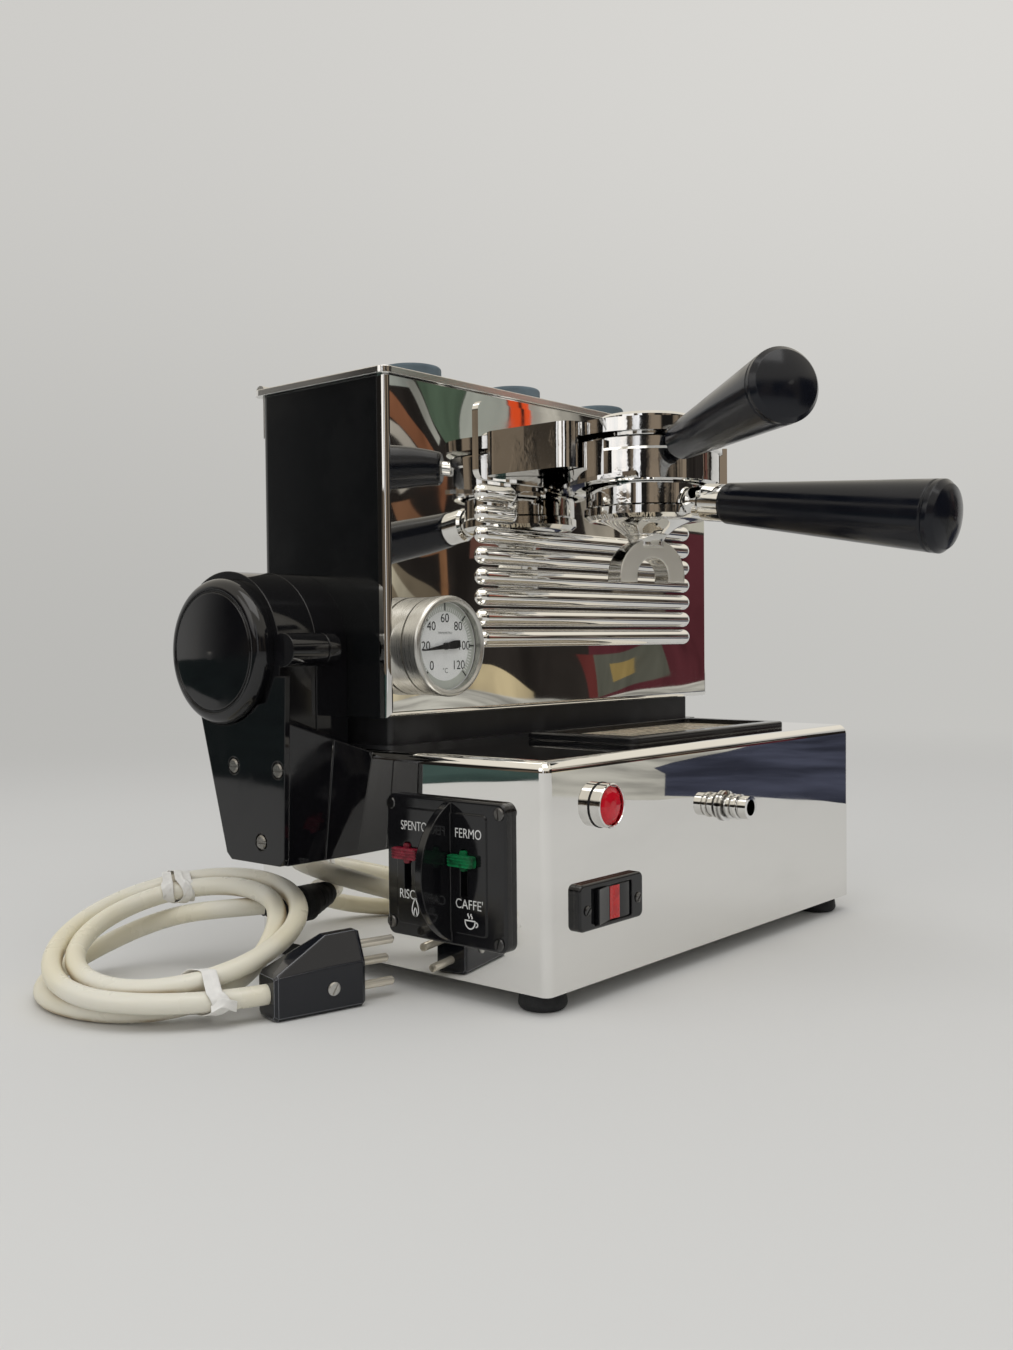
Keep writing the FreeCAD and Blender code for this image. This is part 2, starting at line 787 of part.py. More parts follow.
def filter_grip():
    start, direction = handle_frame(filter_turn, filter_grip_start, filter_axis_z, filter_rise)
    return aimed(grip(filter_grip_length, 10.4, grip_wide), start, direction)


def twin_spout():
    """Arched double spout with a flat front, hung under the funnel."""
    top = spout_outer
    arch = Part.Face(
        outline(
            upright, (-spout_outer, spout_low - spout_centre_z), (-spout_outer, 0), ((0, top), (spout_outer, 0)),
            (spout_outer, spout_low - spout_centre_z), (spout_inner, spout_low - spout_centre_z), (spout_inner, 0),
            ((0, spout_inner), (-spout_inner, 0)), (-spout_inner, spout_low - spout_centre_z),
        )
    ).extrude(V(0, spout_width, 0))
    arch.translate(V(0, -spout_width / 2, 0))
    middle = (spout_outer + spout_inner) / 2
    outlets = [rod(V(x, 0, -10), UP, 3.0, 14) for x in (-middle, middle)]
    throat = bowl_low - spout_centre_z
    collar = turned((0, top - 4), (9.6, top - 4), ((9.9, throat - 2.2), (12, throat)), (0, throat))
    spout = arch.fuse(collar).cut(outlets).removeSplitter()
    spout.rotate(V(0, 0, 0), UP, spout_turn)
    return spout.translated(V(group_x, group_y, spout_centre_z))


def motor_outline(x, shoulder_z, shoulder_y, foot_y):
    """Section of the motor side housing: a round arch on a tapered foot."""
    def point(y, z):
        return V(x, y, z)

    r = motor_radius
    return outline(
        point, (motor_y - r, motor_z), ((motor_y, motor_z + r), (motor_y + r, motor_z)), (177, 124),
        (158, terminal_low), (foot_y, terminal_low), (shoulder_y, shoulder_z), (motor_y - r, shoulder_z + 4),
    )


def motor_sections():
    """Outer, seam and wall sections, from the free end to the machine."""
    return (
        motor_outline(motor_outer, 124, 115, 118),
        motor_outline(motor_seam, 116, 110, 117),
        motor_outline(0, 109, 105, 116),
    )


def motor_boss(x0, x1):
    return rod(V(x0, motor_y - motor_radius - 2.5, motor_z + 0.5), V(1, 0, 0), 7.8, x1 - x0)


def motor_housing():
    """Inner half of the motor housing, against the casing."""
    _, seam, wall = motor_sections()
    body = Part.makeLoft([seam, wall], True, True)
    body = body.fuse(motor_boss(motor_seam, -13))
    axis = V(1, 0, 0)
    rotor_room = rod(V(motor_seam - 1, motor_y, motor_z), axis, 32.2, 7)
    shaft_room = rod(V(motor_seam - 1, motor_y, motor_z), axis, 3.6, 9)
    pump_room = rod(V(-12, motor_y, motor_z), axis, 20.2, 10.5)
    supply = rod(V(-3, 150, 165), axis, 3.2, 4)
    suction = rod(V(-3, 176, 150), axis, 3.2, 4)
    return body.cut([rotor_room, shaft_room, pump_room, supply, suction]).removeSplitter()


def motor_shell():
    """Outer half of the motor housing with the terminal box below."""
    outer, seam, _ = motor_sections()
    body = Part.makeLoft([outer, seam], True, True)
    body = body.fuse(motor_boss(motor_outer, motor_seam))
    rotor_room = rod(V(motor_outer - 1, motor_y, motor_z), V(1, 0, 0), 32.2, 40)
    terminals = block(motor_outer - 1, motor_seam - 3, 125, 151, 68, 112)
    return body.cut([rotor_room, terminals]).removeSplitter()


def motor_end_cap():
    """Round cover with a soft edge and a ring groove in its face."""
    depth = motor_outer - motor_cap_face
    r = motor_cap_radius
    cap = turned(
        (0, 0), (r, 0), (r, depth - 5.5), ((r - 1.6, depth - 1.6), (r - 5.2, depth - 0.1)), (r - 5.6, depth - 0.9),
        (r - 6.4, depth - 0.9), (r - 6.8, depth), dome(r - 6.8, depth, depth + 1.4),
    )
    return on_left(cap, motor_outer, motor_y, motor_z)


def terminal_cover():
    """Tapered plate over the terminal box."""
    def point(y, z):
        return V(motor_outer - 3, y, z)

    plate = Part.Face(
        outline(
            point, (177, 126), (158.5, terminal_low + 3), (155, terminal_low), (120, terminal_low),
            (117, terminal_low + 3), (114.6, 146), (122, 146), (128, 134),
        )
    ).extrude(V(3, 0, 0))
    round_cap = rod(V(motor_outer - 10, motor_y, motor_z), V(1, 0, 0), motor_cap_radius + 0.6, 20)
    boss = motor_boss(motor_outer - 10, 0)
    sinks = [rod(V(motor_outer - 5, y, z), V(1, 0, 0), 4.1, 2 + terminal_screw_sink) for y, z in terminal_screw_spots]
    return plate.cut([round_cap, boss] + sinks).removeSplitter()


def terminal_screws():
    screw = slotted_screw(3.3, 1.7)
    return Part.makeCompound(
        [on_left(screw, motor_outer - 3 + terminal_screw_sink, y, z) for y, z in terminal_screw_spots]
    )


def terminal_block():
    """Moulded strip with three clamp towers."""
    strip = block(motor_outer + 8, motor_seam - 3, 128, 148, 74, 106)
    slots = [block(motor_outer + 4, motor_outer + 14, 127, 149, z, z + 2) for z in (83.5, 94.5)]
    return strip.cut(slots)


def motor_stator():
    """Laminated ring with six pole gaps."""
    ring = turned((20.0, 0), (31.8, 0), (31.8, 26), (20.0, 26))
    gaps = []
    for index in range(6):
        gap = block(18, 25, -2, 2, -1, 27)
        gap.rotate(V(0, 0, 0), UP, index * 60)
        gaps.append(gap)
    return aimed(ring.cut(gaps), V(motor_outer + 1.5, motor_y, motor_z), V(1, 0, 0))


def motor_rotor():
    """Rotor drum on its shaft, with the cooling fan's hub at the free end."""
    drum = turned((0, 0), (3.0, 0), (3.0, 4), (19.5, 4), (19.5, 22), (3.0, 22), (3.0, 35), (0, 35))
    return aimed(drum, V(motor_outer + 0.5, motor_y, motor_z), V(1, 0, 0))


def pump_head():
    """Rotary pump driven by the motor shaft."""
    body = rod(V(-11.8, motor_y, motor_z), V(1, 0, 0), 20.0, 10.3)
    bore = rod(V(-13, motor_y, motor_z), V(1, 0, 0), 3.08, 8)
    return body.cut(bore)


def control_plate():
    """Black switch plate on the left of the base, with a fin between two sliders."""
    middle = (control_front + control_back) / 2
    half = (control_back - control_front) / 2
    low, high = control_low, control_high
    plate = slab(-half, half, low, high, 4, 0, control_thick)
    rim = edges_where(plate, lambda b: b.ZMin > control_thick - 0.01)
    plate = plate.makeFillet(1.2, rim)
    panel = slab(-half + 7, half - 11, low + 6, high - 6, 2, control_thick - 1, control_thick + 0.6)
    centre_z = (low + high) / 2
    chord = (high - low) / 2 - 1.5
    fin = Part.Face(
        outline(
            upright, (0, 0), (chord, 0), ((0, fin_sag), (-chord, 0)),
        )
    ).extrude(V(0, 4, 0))
    fin.translate(V(0, -2, 0))
    fin.rotate(V(0, 0, 0), UP, 90)
    fin.translate(V(middle - fin_y, centre_z, control_thick))
    plate = plate.fuse([panel, fin])
    slots = [
        slab(u - 2.2, u + 2.2, slider_z - slider_travel - 5.2, slider_z + 5.2, 1.5, -1, control_thick + 3)
        for u in (middle - y for y in slider_ys)
    ]
    return on_left(plate.cut(slots), 0, middle, 0).removeSplitter()


def slider(y):
    """Sliding button: ridged head outside the plate, stem in its slot."""
    head = slab(-7.6, 7.6, -2.6, 2.6, 1.2, control_thick + 1.0, control_thick + 3.6)
    ridges = [block(-7.6, 7.6, z - 0.4, z + 0.4, control_thick + 3.2, control_thick + 4) for z in (-1.3, 0, 1.3)]
    stem = slab(-1.9, 1.9, -4.6, 4.6, 1.3, 2, control_thick + 1.5)
    return on_left(head.cut(ridges).fuse(stem), 0, y, slider_z).removeSplitter()


def heating_slider():
    return slider(slider_ys[0])


def coffee_slider():
    return slider(slider_ys[1])


def panel_screws():
    """Slotted screws of the control plate and of the rocker's surround."""
    large = slotted_screw(2.8, 1.0)
    small = slotted_screw(2.3, 0.8, 0.9)
    small.rotate(V(0, 0, 0), UP, switch_screw_turn)
    on_plate = []
    for (y, z), turn in zip(control_screw_spots, control_screw_turns):
        screw = large.copy()
        screw.rotate(V(0, 0, 0), UP, turn)
        on_plate.append(on_left(screw, -control_thick, y, z))
    on_switch = [on_front(small, x, -switch_thick, rocker_z - 0.8) for x in switch_screw_xs]
    return Part.makeCompound(on_plate + on_switch)


def control_switches():
    """Two switch bodies behind the plate."""
    bodies = [block(0, 24, y - 9, y + 9, slider_z - 22, slider_z + 14) for y in slider_ys]
    return Part.makeCompound(bodies)


def pilot_bezel():
    """Short chrome tube round the pilot lamp."""
    bezel = turned(
        (6.0, -10), (7.0, -10), (7.0, 0), (10.0, 0), (10.0, 5.6), (9.7, 6.0), (9.3, 6.0), (9.1, 5.6), (9.1, 2.0),
        (6.0, 2.0),
    )
    return on_front(bezel, pilot_x, 0, pilot_z)


def pilot_lens():
    """Cut red lens: a faceted dome."""
    sides = 12
    rings = ((8.9, 2.1), (8.9, 4.4), (6.2, 5.9), (2.2, 6.5))
    wires = []
    for radius, height in rings:
        corners = [
            V(radius * math.cos(2 * math.pi * k / sides), radius * math.sin(2 * math.pi * k / sides), height)
            for k in range(sides)
        ]
        wires.append(Part.makePolygon(corners + corners[:1]))
    return on_front(Part.makeLoft(wires, True, True), pilot_x, 0, pilot_z)


def hose_barb():
    """Drain spigot with a flange, two rings and a plain tip."""
    reach, tip = barb_reach, barb_tip_radius
    start = reach - barb_tip_length
    steps = [(6.0, -12), (6.0, 0), (7.8, 0), (7.8, 1.6), (5.4, 2.2)]
    for low in barb_ring_starts:
        steps += [(5.4, low), (6.5, low + 0.5), (6.5, low + 1.7), (5.4, low + 2.2)]
    steps += [(5.4, start - 0.5), (tip, start), (tip, reach), (4.0, reach)]
    return on_front(turned((4.0, -12), *steps), barb_x, 0, barb_z)


def switch_plate():
    """Moulded surround of the rocker switch."""
    plate = slab(switch_left, switch_right, switch_low, switch_high, 3, 0, switch_thick)
    rim = edges_where(plate, lambda b: b.ZMin > switch_thick - 0.01)
    plate = plate.makeFillet(1.0, rim)
    window = slab(rocker_x - 14.6, rocker_x + 14.6, rocker_z - 8.2, rocker_z + 8.2, 1, -1, switch_thick + 1)
    axle = rod(V(rocker_x, rocker_z - 9.5, rocker_pivot), V(0, 1, 0), 0.98, 19.0)
    return on_front(plate.cut([window, axle]), 0, 0, 0)


def switch_rocker():
    """Rocker with two sloping faces and its axle stubs."""
    def point(a, b):
        return V(a, 0, b)

    paddle = Part.Face(
        outline(
            point, (-13.5, 0.5), (13.5, 0.5), (13.5, 2.9), ((6.5, 3.3), (0, 2.7)), ((-6.5, 4.0), (-13.5, 5.8)),
        )
    ).extrude(V(0, 15.6, 0))
    paddle.translate(V(rocker_x, rocker_z - 7.8, 0))
    axle = rod(V(rocker_x, rocker_z - 9.2, rocker_pivot), V(0, 1, 0), 0.9, 18.4)
    return on_front(paddle.fuse(axle), 0, 0, 0)


def switch_body():
    return block(rocker_x - 14.5, rocker_x + 14.5, 4.5, 22, rocker_z - 8.2, rocker_z + 8.2)


def drip_tray():
    """Black tray: flat rim on the base, tub below, ledge for the grid."""
    def ring(inset, corner, low, high):
        return slab(
            tray_left + inset, tray_right - inset, tray_front + inset, tray_back - inset, corner, low, high
        )

    rim = ring(0, 4, base_top + 0.1, tray_rim_top)
    rim_top = edges_where(rim, lambda b: b.ZMin > tray_rim_top - 0.01)
    rim = rim.makeFillet(1.2, rim_top)
    tub = ring(6, 4, tray_floor, base_top + 0.2)
    ledge = ring(tray_frame, 3, tray_rim_top - grid_sink - 0.1, tray_rim_top + 2)
    hollow = ring(tray_frame + tray_wall, 3, tray_floor + tray_wall, tray_rim_top + 2)
    return rim.fuse(tub).cut([ledge, hollow]).removeSplitter()


def drip_grid():
    """Perforated plate in the tray."""
    inset, gap = tray_frame + 0.4, 3.4
    x0, x1 = tray_left + inset, tray_right - inset
    y0, y1 = tray_front + inset, tray_back - inset
    low = tray_rim_top - grid_sink
    face = Part.Face(rounded(x0, x1, y0, y1, 2.6))
    step_x = (x1 - x0 - 2 * gap) / grid_columns
    step_y = (y1 - y0 - 2 * gap) / grid_rows
    holes = []
    for column in range(grid_columns):
        for row in range(grid_rows):
            x = x0 + gap + (column + 0.5) * step_x
            y = y0 + gap + (row + 0.5) * step_y
            corners = [
                V(x - step_x * 0.32, y - step_y * 0.32, 0), V(x + step_x * 0.32, y - step_y * 0.32, 0),
                V(x + step_x * 0.32, y + step_y * 0.32, 0), V(x - step_x * 0.32, y + step_y * 0.32, 0),
            ]
            holes.append(Part.Face(Part.makePolygon(corners + corners[:1])))
    plate = face.cut(Part.makeCompound(holes)).extrude(V(0, 0, 1.2))
    plate.translate(V(0, 0, low))
    return plate.Solids[0]


# Mains cord: gland, lead, coil, plug
def cord_gland():
    """Rubber strain relief in the left side of the base: a collar and a ribbed, tapered sleeve."""
    wall = V(0, gland_y, gland_z)
    collar = on_left(turned((0, -6), (6.0, -6), (6.0, 0), (9.0, 0), (9.0, 3.0), (0, 3.0)), 0, gland_y, gland_z)
    steps = [(8.4, 0)]
    ribs = 4
    for index in range(ribs):
        low = 4.0 + index * 4.2
        radius = 8.2 - index * 0.65
        steps += [(radius, low), (radius, low + 2.6), (radius - 1.1, low + 2.8), (radius - 1.1, low + 4.0)]
    sleeve = turned((0, 0), *steps, (5.2, gland_reach), (0, gland_reach))
    behind = block(0, 30, gland_y - 20, gland_y + 20, gland_z - 20, gland_z + 20)
    return aimed(sleeve, wall, gland_aim).cut(behind).fuse(collar).removeSplitter()


def coil_plane(x, y):
    """Height of the leaning loops over the floor."""
    return coil_low_z + coil_slope * (x - coil_low_x) + coil_tilt * (y - coil_y)


def blend(t, first, last):
    """Smooth step from 0 to 1."""
    s = min(1.0, max(0.0, (t - first) / (last - first)))
    return s * s * (3 - 2 * s)


def coil_point(turns):
    """Centre line of the coil: one loop on the floor, which climbs and goes on as a leaning spiral."""
    shift = 0.0
    if turns < 1:
        radius = floor_loop_radius + (inner_loop_radius - floor_loop_radius) * blend(turns, 0.53, 0.94)
        shift = floor_loop_drift * (1 - blend(turns, 0.55, 0.95))
    else:
        radius = inner_loop_radius + loop_step * (turns - 1)
    angle = math.radians(coil_bearing + TURN * turns)
    drift_angle = math.radians(coil_bearing + TURN * coil_start + 90)
    settle = blend(turns, 2.6, 2.831)
    x = coil_x + radius * math.cos(angle) + shift * math.cos(drift_angle) + settle * plug_drift.x
    y = coil_y + radius * math.sin(angle) + shift * math.sin(drift_angle) + settle * plug_drift.y
    rest = cord_radius + 0.1
    climb = blend(turns, 0.68, 1.06)
    z = rest + (coil_plane(x, y) - rest) * climb
    return V(x, y, z + (plug_cord_z - z) * settle)


def coil_heading(turns):
    ahead = coil_point(turns + 0.002)
    behind = coil_point(turns - 0.002)
    return (ahead - behind).normalize()


def arc_between(start, corner, end):
    """Arc that leaves start towards corner and reaches end coming from corner."""
    chord_middle = (start + end) * 0.5
    lift = corner - chord_middle
    half = (end - start).Length / 2
    if lift.Length < 1e-4 * half:
        return Part.LineSegment(start, end).toShape()
    angle = math.atan2(lift.Length, half)
    middle = chord_middle + lift.normalize() * (half * math.tan(angle / 2))
    return Part.Arc(start, middle, end).toShape()


def biarc(start, leaving, end, arriving):
    """Two tangent arcs from one point and direction to the next."""
    span = end - start
    both = leaving + arriving
    spread = 2 * (1 - leaving.dot(arriving))
    along = span.dot(both)
    reach = (-along + math.sqrt(along * along + spread * span.dot(span))) / spread
    first = start + leaving * reach
    second = end - arriving * reach
    middle = (first + second) * 0.5
    return [arc_between(start, first, middle), arc_between(middle, second, end)]


def coil_turns():
    count = int(round((coil_end - coil_start) * steps_per_turn))
    return [coil_start + (coil_end - coil_start) * k / count for k in range(count + 1)]


def cord_coil():
    """The coil's loops as one unbroken tube."""
    turns = coil_turns()
    end = coil_point(turns[-1])
    edges = []
    for first, last in zip(turns, turns[1:]):
        edges += biarc(coil_point(first), coil_heading(first), coil_point(last), coil_heading(last))
    edges.append(Part.LineSegment(end, end + coil_heading(turns[-1]) * cord_tail).toShape())
    tube = swept_tube(edges, cord_radius)
    length = sum(edge.Length for edge in edges)
    area = math.pi * cord_radius ** 2
    print("coil length", round(length, 1), "volume share", round(tube.Volume / (area * length), 4))
    print("coil gap to itself", round(self_gap(), 2))
    return tube


def self_gap():
    """Least distance between the tube's surfaces on neighbouring loops, from points on the centre line."""
    samples = 240
    points = [
        (t, coil_point(t))
        for t in (coil_start + (coil_end - coil_start) * k / samples for k in range(samples + 1))
    ]
    least = min(
        (p - q).Length for i, (t, p) in enumerate(points) for u, q in points[i + 1:] if u - t > 0.35
    )
    return least - 2 * cord_radius


def lead_route():
    """Points and headings of the lead: a bend to the back, then a wide one down into the floor loop."""
    aim = V(gland_aim).normalize()
    points = [V(0, gland_y, gland_z) + aim * gland_reach]
    points += [V(x, y, z) for x, y, z, _ in lead_stations]
    points.append(coil_point(coil_start))
    headings = [aim]
    for before, after, station in zip(points, points[2:], lead_stations):
        turn = math.radians(station[3])
        climb = (after.z - before.z) / (after - before).Length
        headings.append(V(math.cos(turn), math.sin(turn), climb).normalize())
    headings.append(coil_heading(coil_start))
    return points, headings


def cord_lead():
    points, headings = lead_route()
    edges = []
    for index in range(len(points) - 1):
        edges += biarc(points[index], headings[index], points[index + 1], headings[index + 1])
    tube = swept_tube(edges, cord_radius)
    length = sum(edge.Length for edge in edges)
    area = math.pi * cord_radius ** 2
    radii = [round(edge.Curve.Radius) for edge in edges if hasattr(edge.Curve, "Radius")]
    print("lead length", round(length, 1), "volume share", round(tube.Volume / (area * length), 4), "radii", radii)
    return tube


def plug_frame(shape):
    """Places a plug piece: its z runs from the cord to the pins, its y goes up."""
    arriving = coil_heading(coil_end)
    ahead = V(arriving.x, arriving.y, 0).normalize()
    start = coil_point(coil_end) + arriving * cord_tail
    return in_axes(shape, UP.cross(ahead), UP, ahead, V(start.x, start.y, 0))


def plug_section(low, shoulder, high, half, top_half, z):
    """Section of the plug on its narrow edge: upright sides and a bevel up to the top."""
    corners = [
        V(-half + 1.5, low, z), V(half - 1.5, low, z), V(half, low + 1.5, z), V(half, shoulder, z),
        V(top_half, high, z), V(-top_half, high, z), V(-half, shoulder, z), V(-half, low + 1.5, z),
    ]
    return Part.makePolygon(corners + corners[:1])


def plug_body():
    """Bevelled plug whose roof narrows and rises towards its pins."""
    sections = [
        plug_section(1.2, 18.0, 18.8, plug_half - 1.2, plug_half - 2.2, 0.0),
        plug_section(0.2, 19.0, 20.2, plug_half, plug_half - 1.0, 1.6),
        plug_section(0.2, 20.2, plug_top, plug_half, 2.4, plug_length - 17),
        plug_section(0.2, 20.4, plug_top + 0.4, plug_half, 2.4, plug_length - 1.5),
        plug_section(1.0, 20.0, plug_top - 0.4, plug_half - 0.8, 1.9, plug_length),
    ]
    return plug_frame(Part.makeLoft(sections, True, True))


def plug_screw():
    """Slotted screw in the near face of the plug."""
    screw = slotted_screw(3.0, 0.9)
    screw.rotate(V(0, 0, 0), UP, 60)
    screw.rotate(V(0, 0, 0), V(0, 1, 0), -90)
    screw.translate(V(-plug_half, 10.5, plug_length - 16))
    return plug_frame(screw)


def plug_pins():
    """Three round pins: two live ones in line and an earth pin set to one side."""
    tip = 0.8
    pin = turned((0, 0), (pin_radius, 0), (pin_radius, pin_length - tip), (pin_radius - tip, pin_length), (0, pin_length))
    spots = ((0.0, plug_middle_z - pin_spread), (0.0, plug_middle_z + pin_spread), (5.0, plug_middle_z))
    return plug_frame(Part.makeCompound([pin.translated(V(x, y, plug_length)) for x, y in spots]))


def cord_ties():
    """Two tape loops round the coil's strands."""
    far_tie = tie_loop((1.29, 2.29))
    near_tie = tie_loop((0.8, 1.8, 2.8))
    return Part.makeCompound([far_tie, near_tie])


def tie_loop(strands):
    """Flat band round the strands that cross one upright plane of the coil."""
    points = [coil_point(turns) for turns in strands]
    middle = points[0]
    outward = V(middle.x - coil_x, middle.y - coil_y, 0).normalize()
    flat_points = [((p - middle).dot(outward), p.z - middle.z) for p in points]
    inner = cord_radius + tie_room
    band = band_face(flat_points, inner + tie_thick).cut(band_face(flat_points, inner))
    ring = band.extrude(V(0, 0, tie_width))
    ring.translate(V(0, 0, -tie_width / 2))
    return in_axes(ring, outward, UP, outward.cross(UP), middle)


def band_face(points, radius):
    """Area within a distance of a line or an anticlockwise or clockwise triangle."""
    spots = [V(a, b, 0) for a, b in points]
    if len(spots) == 3 and (spots[1] - spots[0]).cross(spots[2] - spots[0]).z < 0:
        spots.reverse()
    count = len(spots)
    edges = []
    normals = []
    for index in range(count):
        run = (spots[(index + 1) % count] - spots[index]).normalize()
        normals.append(V(run.y, -run.x, 0))
    for index in range(count):
        here, there = spots[index], spots[(index + 1) % count]
        normal, following = normals[index], normals[(index + 1) % count]
        corner = normal + following
        if corner.Length < 1e-6:
            corner = there - here
        start, end = there + normal * radius, there + following * radius
        edges.append(Part.LineSegment(here + normal * radius, start).toShape())
        edges.append(Part.Arc(start, there + corner.normalize() * radius, end).toShape())
    return Part.Face(Part.Wire(edges))


MACHINE = (
    base_housing, base_plate, rubber_feet, plinth, boiler_casing, front_panel, top_lid, lid_hinges,
    lid_buffers, boiler, heating_element, water_tank, group_pipe, pump_pipes, gauge_case,
    gauge_dial, gauge_glass, gauge_probe, gauge_needle, group_arm, group_head, group_gasket, shower_screen,
    clamp_ring, clamp_neck, clamp_grip, filter_holder, filter_basket, filter_neck, filter_grip, twin_spout,
    motor_housing, motor_shell, motor_end_cap, terminal_cover, terminal_screws, terminal_block, motor_stator,
    motor_rotor, pump_head, control_plate, heating_slider, coffee_slider, panel_screws, control_switches,
    pilot_bezel, pilot_lens, hose_barb, switch_plate, switch_rocker, switch_body, drip_tray,
    drip_grid,
)
CORD = (cord_gland, cord_lead, cord_coil, cord_ties, plug_body, plug_pins, plug_screw)


def main():
    os.makedirs("parts", exist_ok=True)
    machine = {make.__name__: make() for make in MACHINE}
    cord = {make.__name__: make() for make in CORD}
    reach = Part.makeCompound(list(machine.values())).optimalBoundingBox(False, False)
    origin = V((reach.XMin + reach.XMax) / 2, (reach.YMin + reach.YMax) / 2, 0)
    print("origin in the bench frame", [round(value, 3) for value in origin])
    for name, shape in {**machine, **cord}.items():
        if not shape.isValid():
            print("not valid:", name)
        moved = shape.copy()
        moved.translate(origin * -1)
        moved.exportStep("parts/%s.step" % name)
    return origin


bench_origin = main()
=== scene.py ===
"""Looks of a small espresso machine: finishes, mains cord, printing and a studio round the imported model."""

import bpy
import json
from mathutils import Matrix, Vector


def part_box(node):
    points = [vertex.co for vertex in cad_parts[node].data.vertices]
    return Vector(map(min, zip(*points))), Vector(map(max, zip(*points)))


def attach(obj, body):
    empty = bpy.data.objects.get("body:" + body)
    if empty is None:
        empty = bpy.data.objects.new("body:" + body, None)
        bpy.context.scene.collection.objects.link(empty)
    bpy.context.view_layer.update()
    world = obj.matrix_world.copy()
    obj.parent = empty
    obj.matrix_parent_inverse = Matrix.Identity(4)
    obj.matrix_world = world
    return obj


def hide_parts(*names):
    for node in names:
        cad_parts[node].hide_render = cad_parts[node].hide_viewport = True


bl_info = {
    "name": "Espresso Machine Looks",
    "version": (1, 0, 0),
    "blender": (4, 5, 0),
    "location": "View3D > Sidebar > Espresso",
    "description": "Finishes, mains cord, printing and studio of a small espresso machine",
    "category": "Object",
}

import json
import math

import bpy
import numpy as np
from mathutils import Matrix, Vector

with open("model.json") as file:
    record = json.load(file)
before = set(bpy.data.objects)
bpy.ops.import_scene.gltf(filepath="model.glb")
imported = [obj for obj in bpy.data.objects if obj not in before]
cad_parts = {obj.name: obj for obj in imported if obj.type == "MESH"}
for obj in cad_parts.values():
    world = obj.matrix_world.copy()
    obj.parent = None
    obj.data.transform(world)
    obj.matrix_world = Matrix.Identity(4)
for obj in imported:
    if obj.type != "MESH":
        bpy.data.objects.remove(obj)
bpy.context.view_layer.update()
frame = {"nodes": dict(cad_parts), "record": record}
base_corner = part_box("base_housing")[0]
bench_zero = np.array((base_corner.x, base_corner.y, 0.0))
UP = np.array((0.0, 0.0, 1.0))


def on_bench(points):
    """Frame points, in metres, of places in millimetres from the floor under the base's front left corner."""
    return np.asarray(points, float) / 1000 + bench_zero


# Settings


def tint(name, colour, description):
    """Colour that a user may change."""
    return bpy.props.FloatVectorProperty(
        name=name, description=description, default=colour, size=3, min=0, max=1, subtype="COLOR"
    )


def length(name, metres, description):
    """Length that a user may change."""
    return bpy.props.FloatProperty(
        name=name, description=description, default=metres, min=0, precision=4, unit="LENGTH",
        subtype="DISTANCE",
    )


class FinishSettings(bpy.types.PropertyGroup):
    """Colours of the machine's finishes."""

    steel: tint("Polished steel", (0.85, 0.84, 0.815), "Mirror-polished sheet of the base and front")
    chrome: tint("Chrome", (0.83, 0.825, 0.81), "Plated group, filter holder and fittings")
    satin: tint("Satin steel", (0.60, 0.59, 0.56), "Thermometer case, screws and grid")
    moulding: tint("Black moulding", (0.005, 0.005, 0.006), "Grips, motor, plates and plug")
    enamel: tint("Black enamel", (0.0065, 0.0070, 0.0075), "Boiler casing")
    rubber: tint("Black rubber", (0.012, 0.012, 0.013), "Feet and gland")
    buffers: tint("Grey rubber", (0.085, 0.115, 0.135), "Buffers on the lid")
    sheath: tint("Cord sheath", (0.76, 0.73, 0.625), "Cream sheath of the mains cord")
    tape: tint("Tape", (0.80, 0.785, 0.745), "White tape round the coil")
    dial: tint("Dial", (0.93, 0.94, 0.92), "Face of the thermometer")
    lens: tint("Pilot lens", (0.78, 0.010, 0.028), "Red lens of the pilot lamp")


class CordSettings(bpy.types.PropertyGroup):
    """Sizes of the cord and its ties."""

    diameter: length("Diameter", 0.009, "Outside diameter of the sheath")
    real_length: length("Length", 0.92, "Length of the cord from the gland to the plug")
    turn_points: bpy.props.IntProperty(
        name="Points per turn", description="Control points in a turn of the coil", default=16, min=12
    )
    tie_width: length("Tie width", 0.0075, "Width of the tape round the coil")


class PrintSettings(bpy.types.PropertyGroup):
    """Sizes of the printed words and numbers."""

    word_height: length("Word height", 0.0042, "Capital height of the words on the switch plate")
    number_height: length("Number height", 0.0042, "Height of the numbers on the dial")
    tick_radius: length("Tick radius", 0.0205, "Outer end of the dial's ticks")


class StudioSettings(bpy.types.PropertyGroup):
    """Light, floor and lens."""

    floor: tint("Floor", (0.70, 0.695, 0.675), "Pale floor")
    horizon: tint("Horizon", (0.52, 0.515, 0.495), "Backdrop at floor level")
    zenith: tint("Zenith", (0.655, 0.645, 0.62), "Backdrop overhead")
    room: tint("Room", (0.24, 0.19, 0.14), "Lit parts of the room that polished metal shows")
    ceiling: tint("Ceiling", (0.86, 0.81, 0.71), "Cream ceiling that polished metal shows")
    key_power: bpy.props.FloatProperty(
        name="Key power", description="Power of the lamp overhead", default=9.0, min=0, unit="POWER"
    )
    fill_power: bpy.props.FloatProperty(
        name="Fill power", description="Power of the lamp on the left", default=3.0, min=0, unit="POWER"
    )
    lens: bpy.props.FloatProperty(
        name="Lens", description="Focal length on a 36 mm long side", default=34.41, min=1, unit="CAMERA"
    )


# Node helpers


def add(tree, kind, inputs=None, **settings):
    """New node; an input takes a value or the output that feeds it."""
    node = tree.nodes.new(kind)
    for key, value in settings.items():
        setattr(node, key, value)
    for key, value in (inputs or {}).items():
        if isinstance(value, bpy.types.NodeSocket):
            tree.links.new(value, node.inputs[key])
        else:
            node.inputs[key].default_value = value
    return node


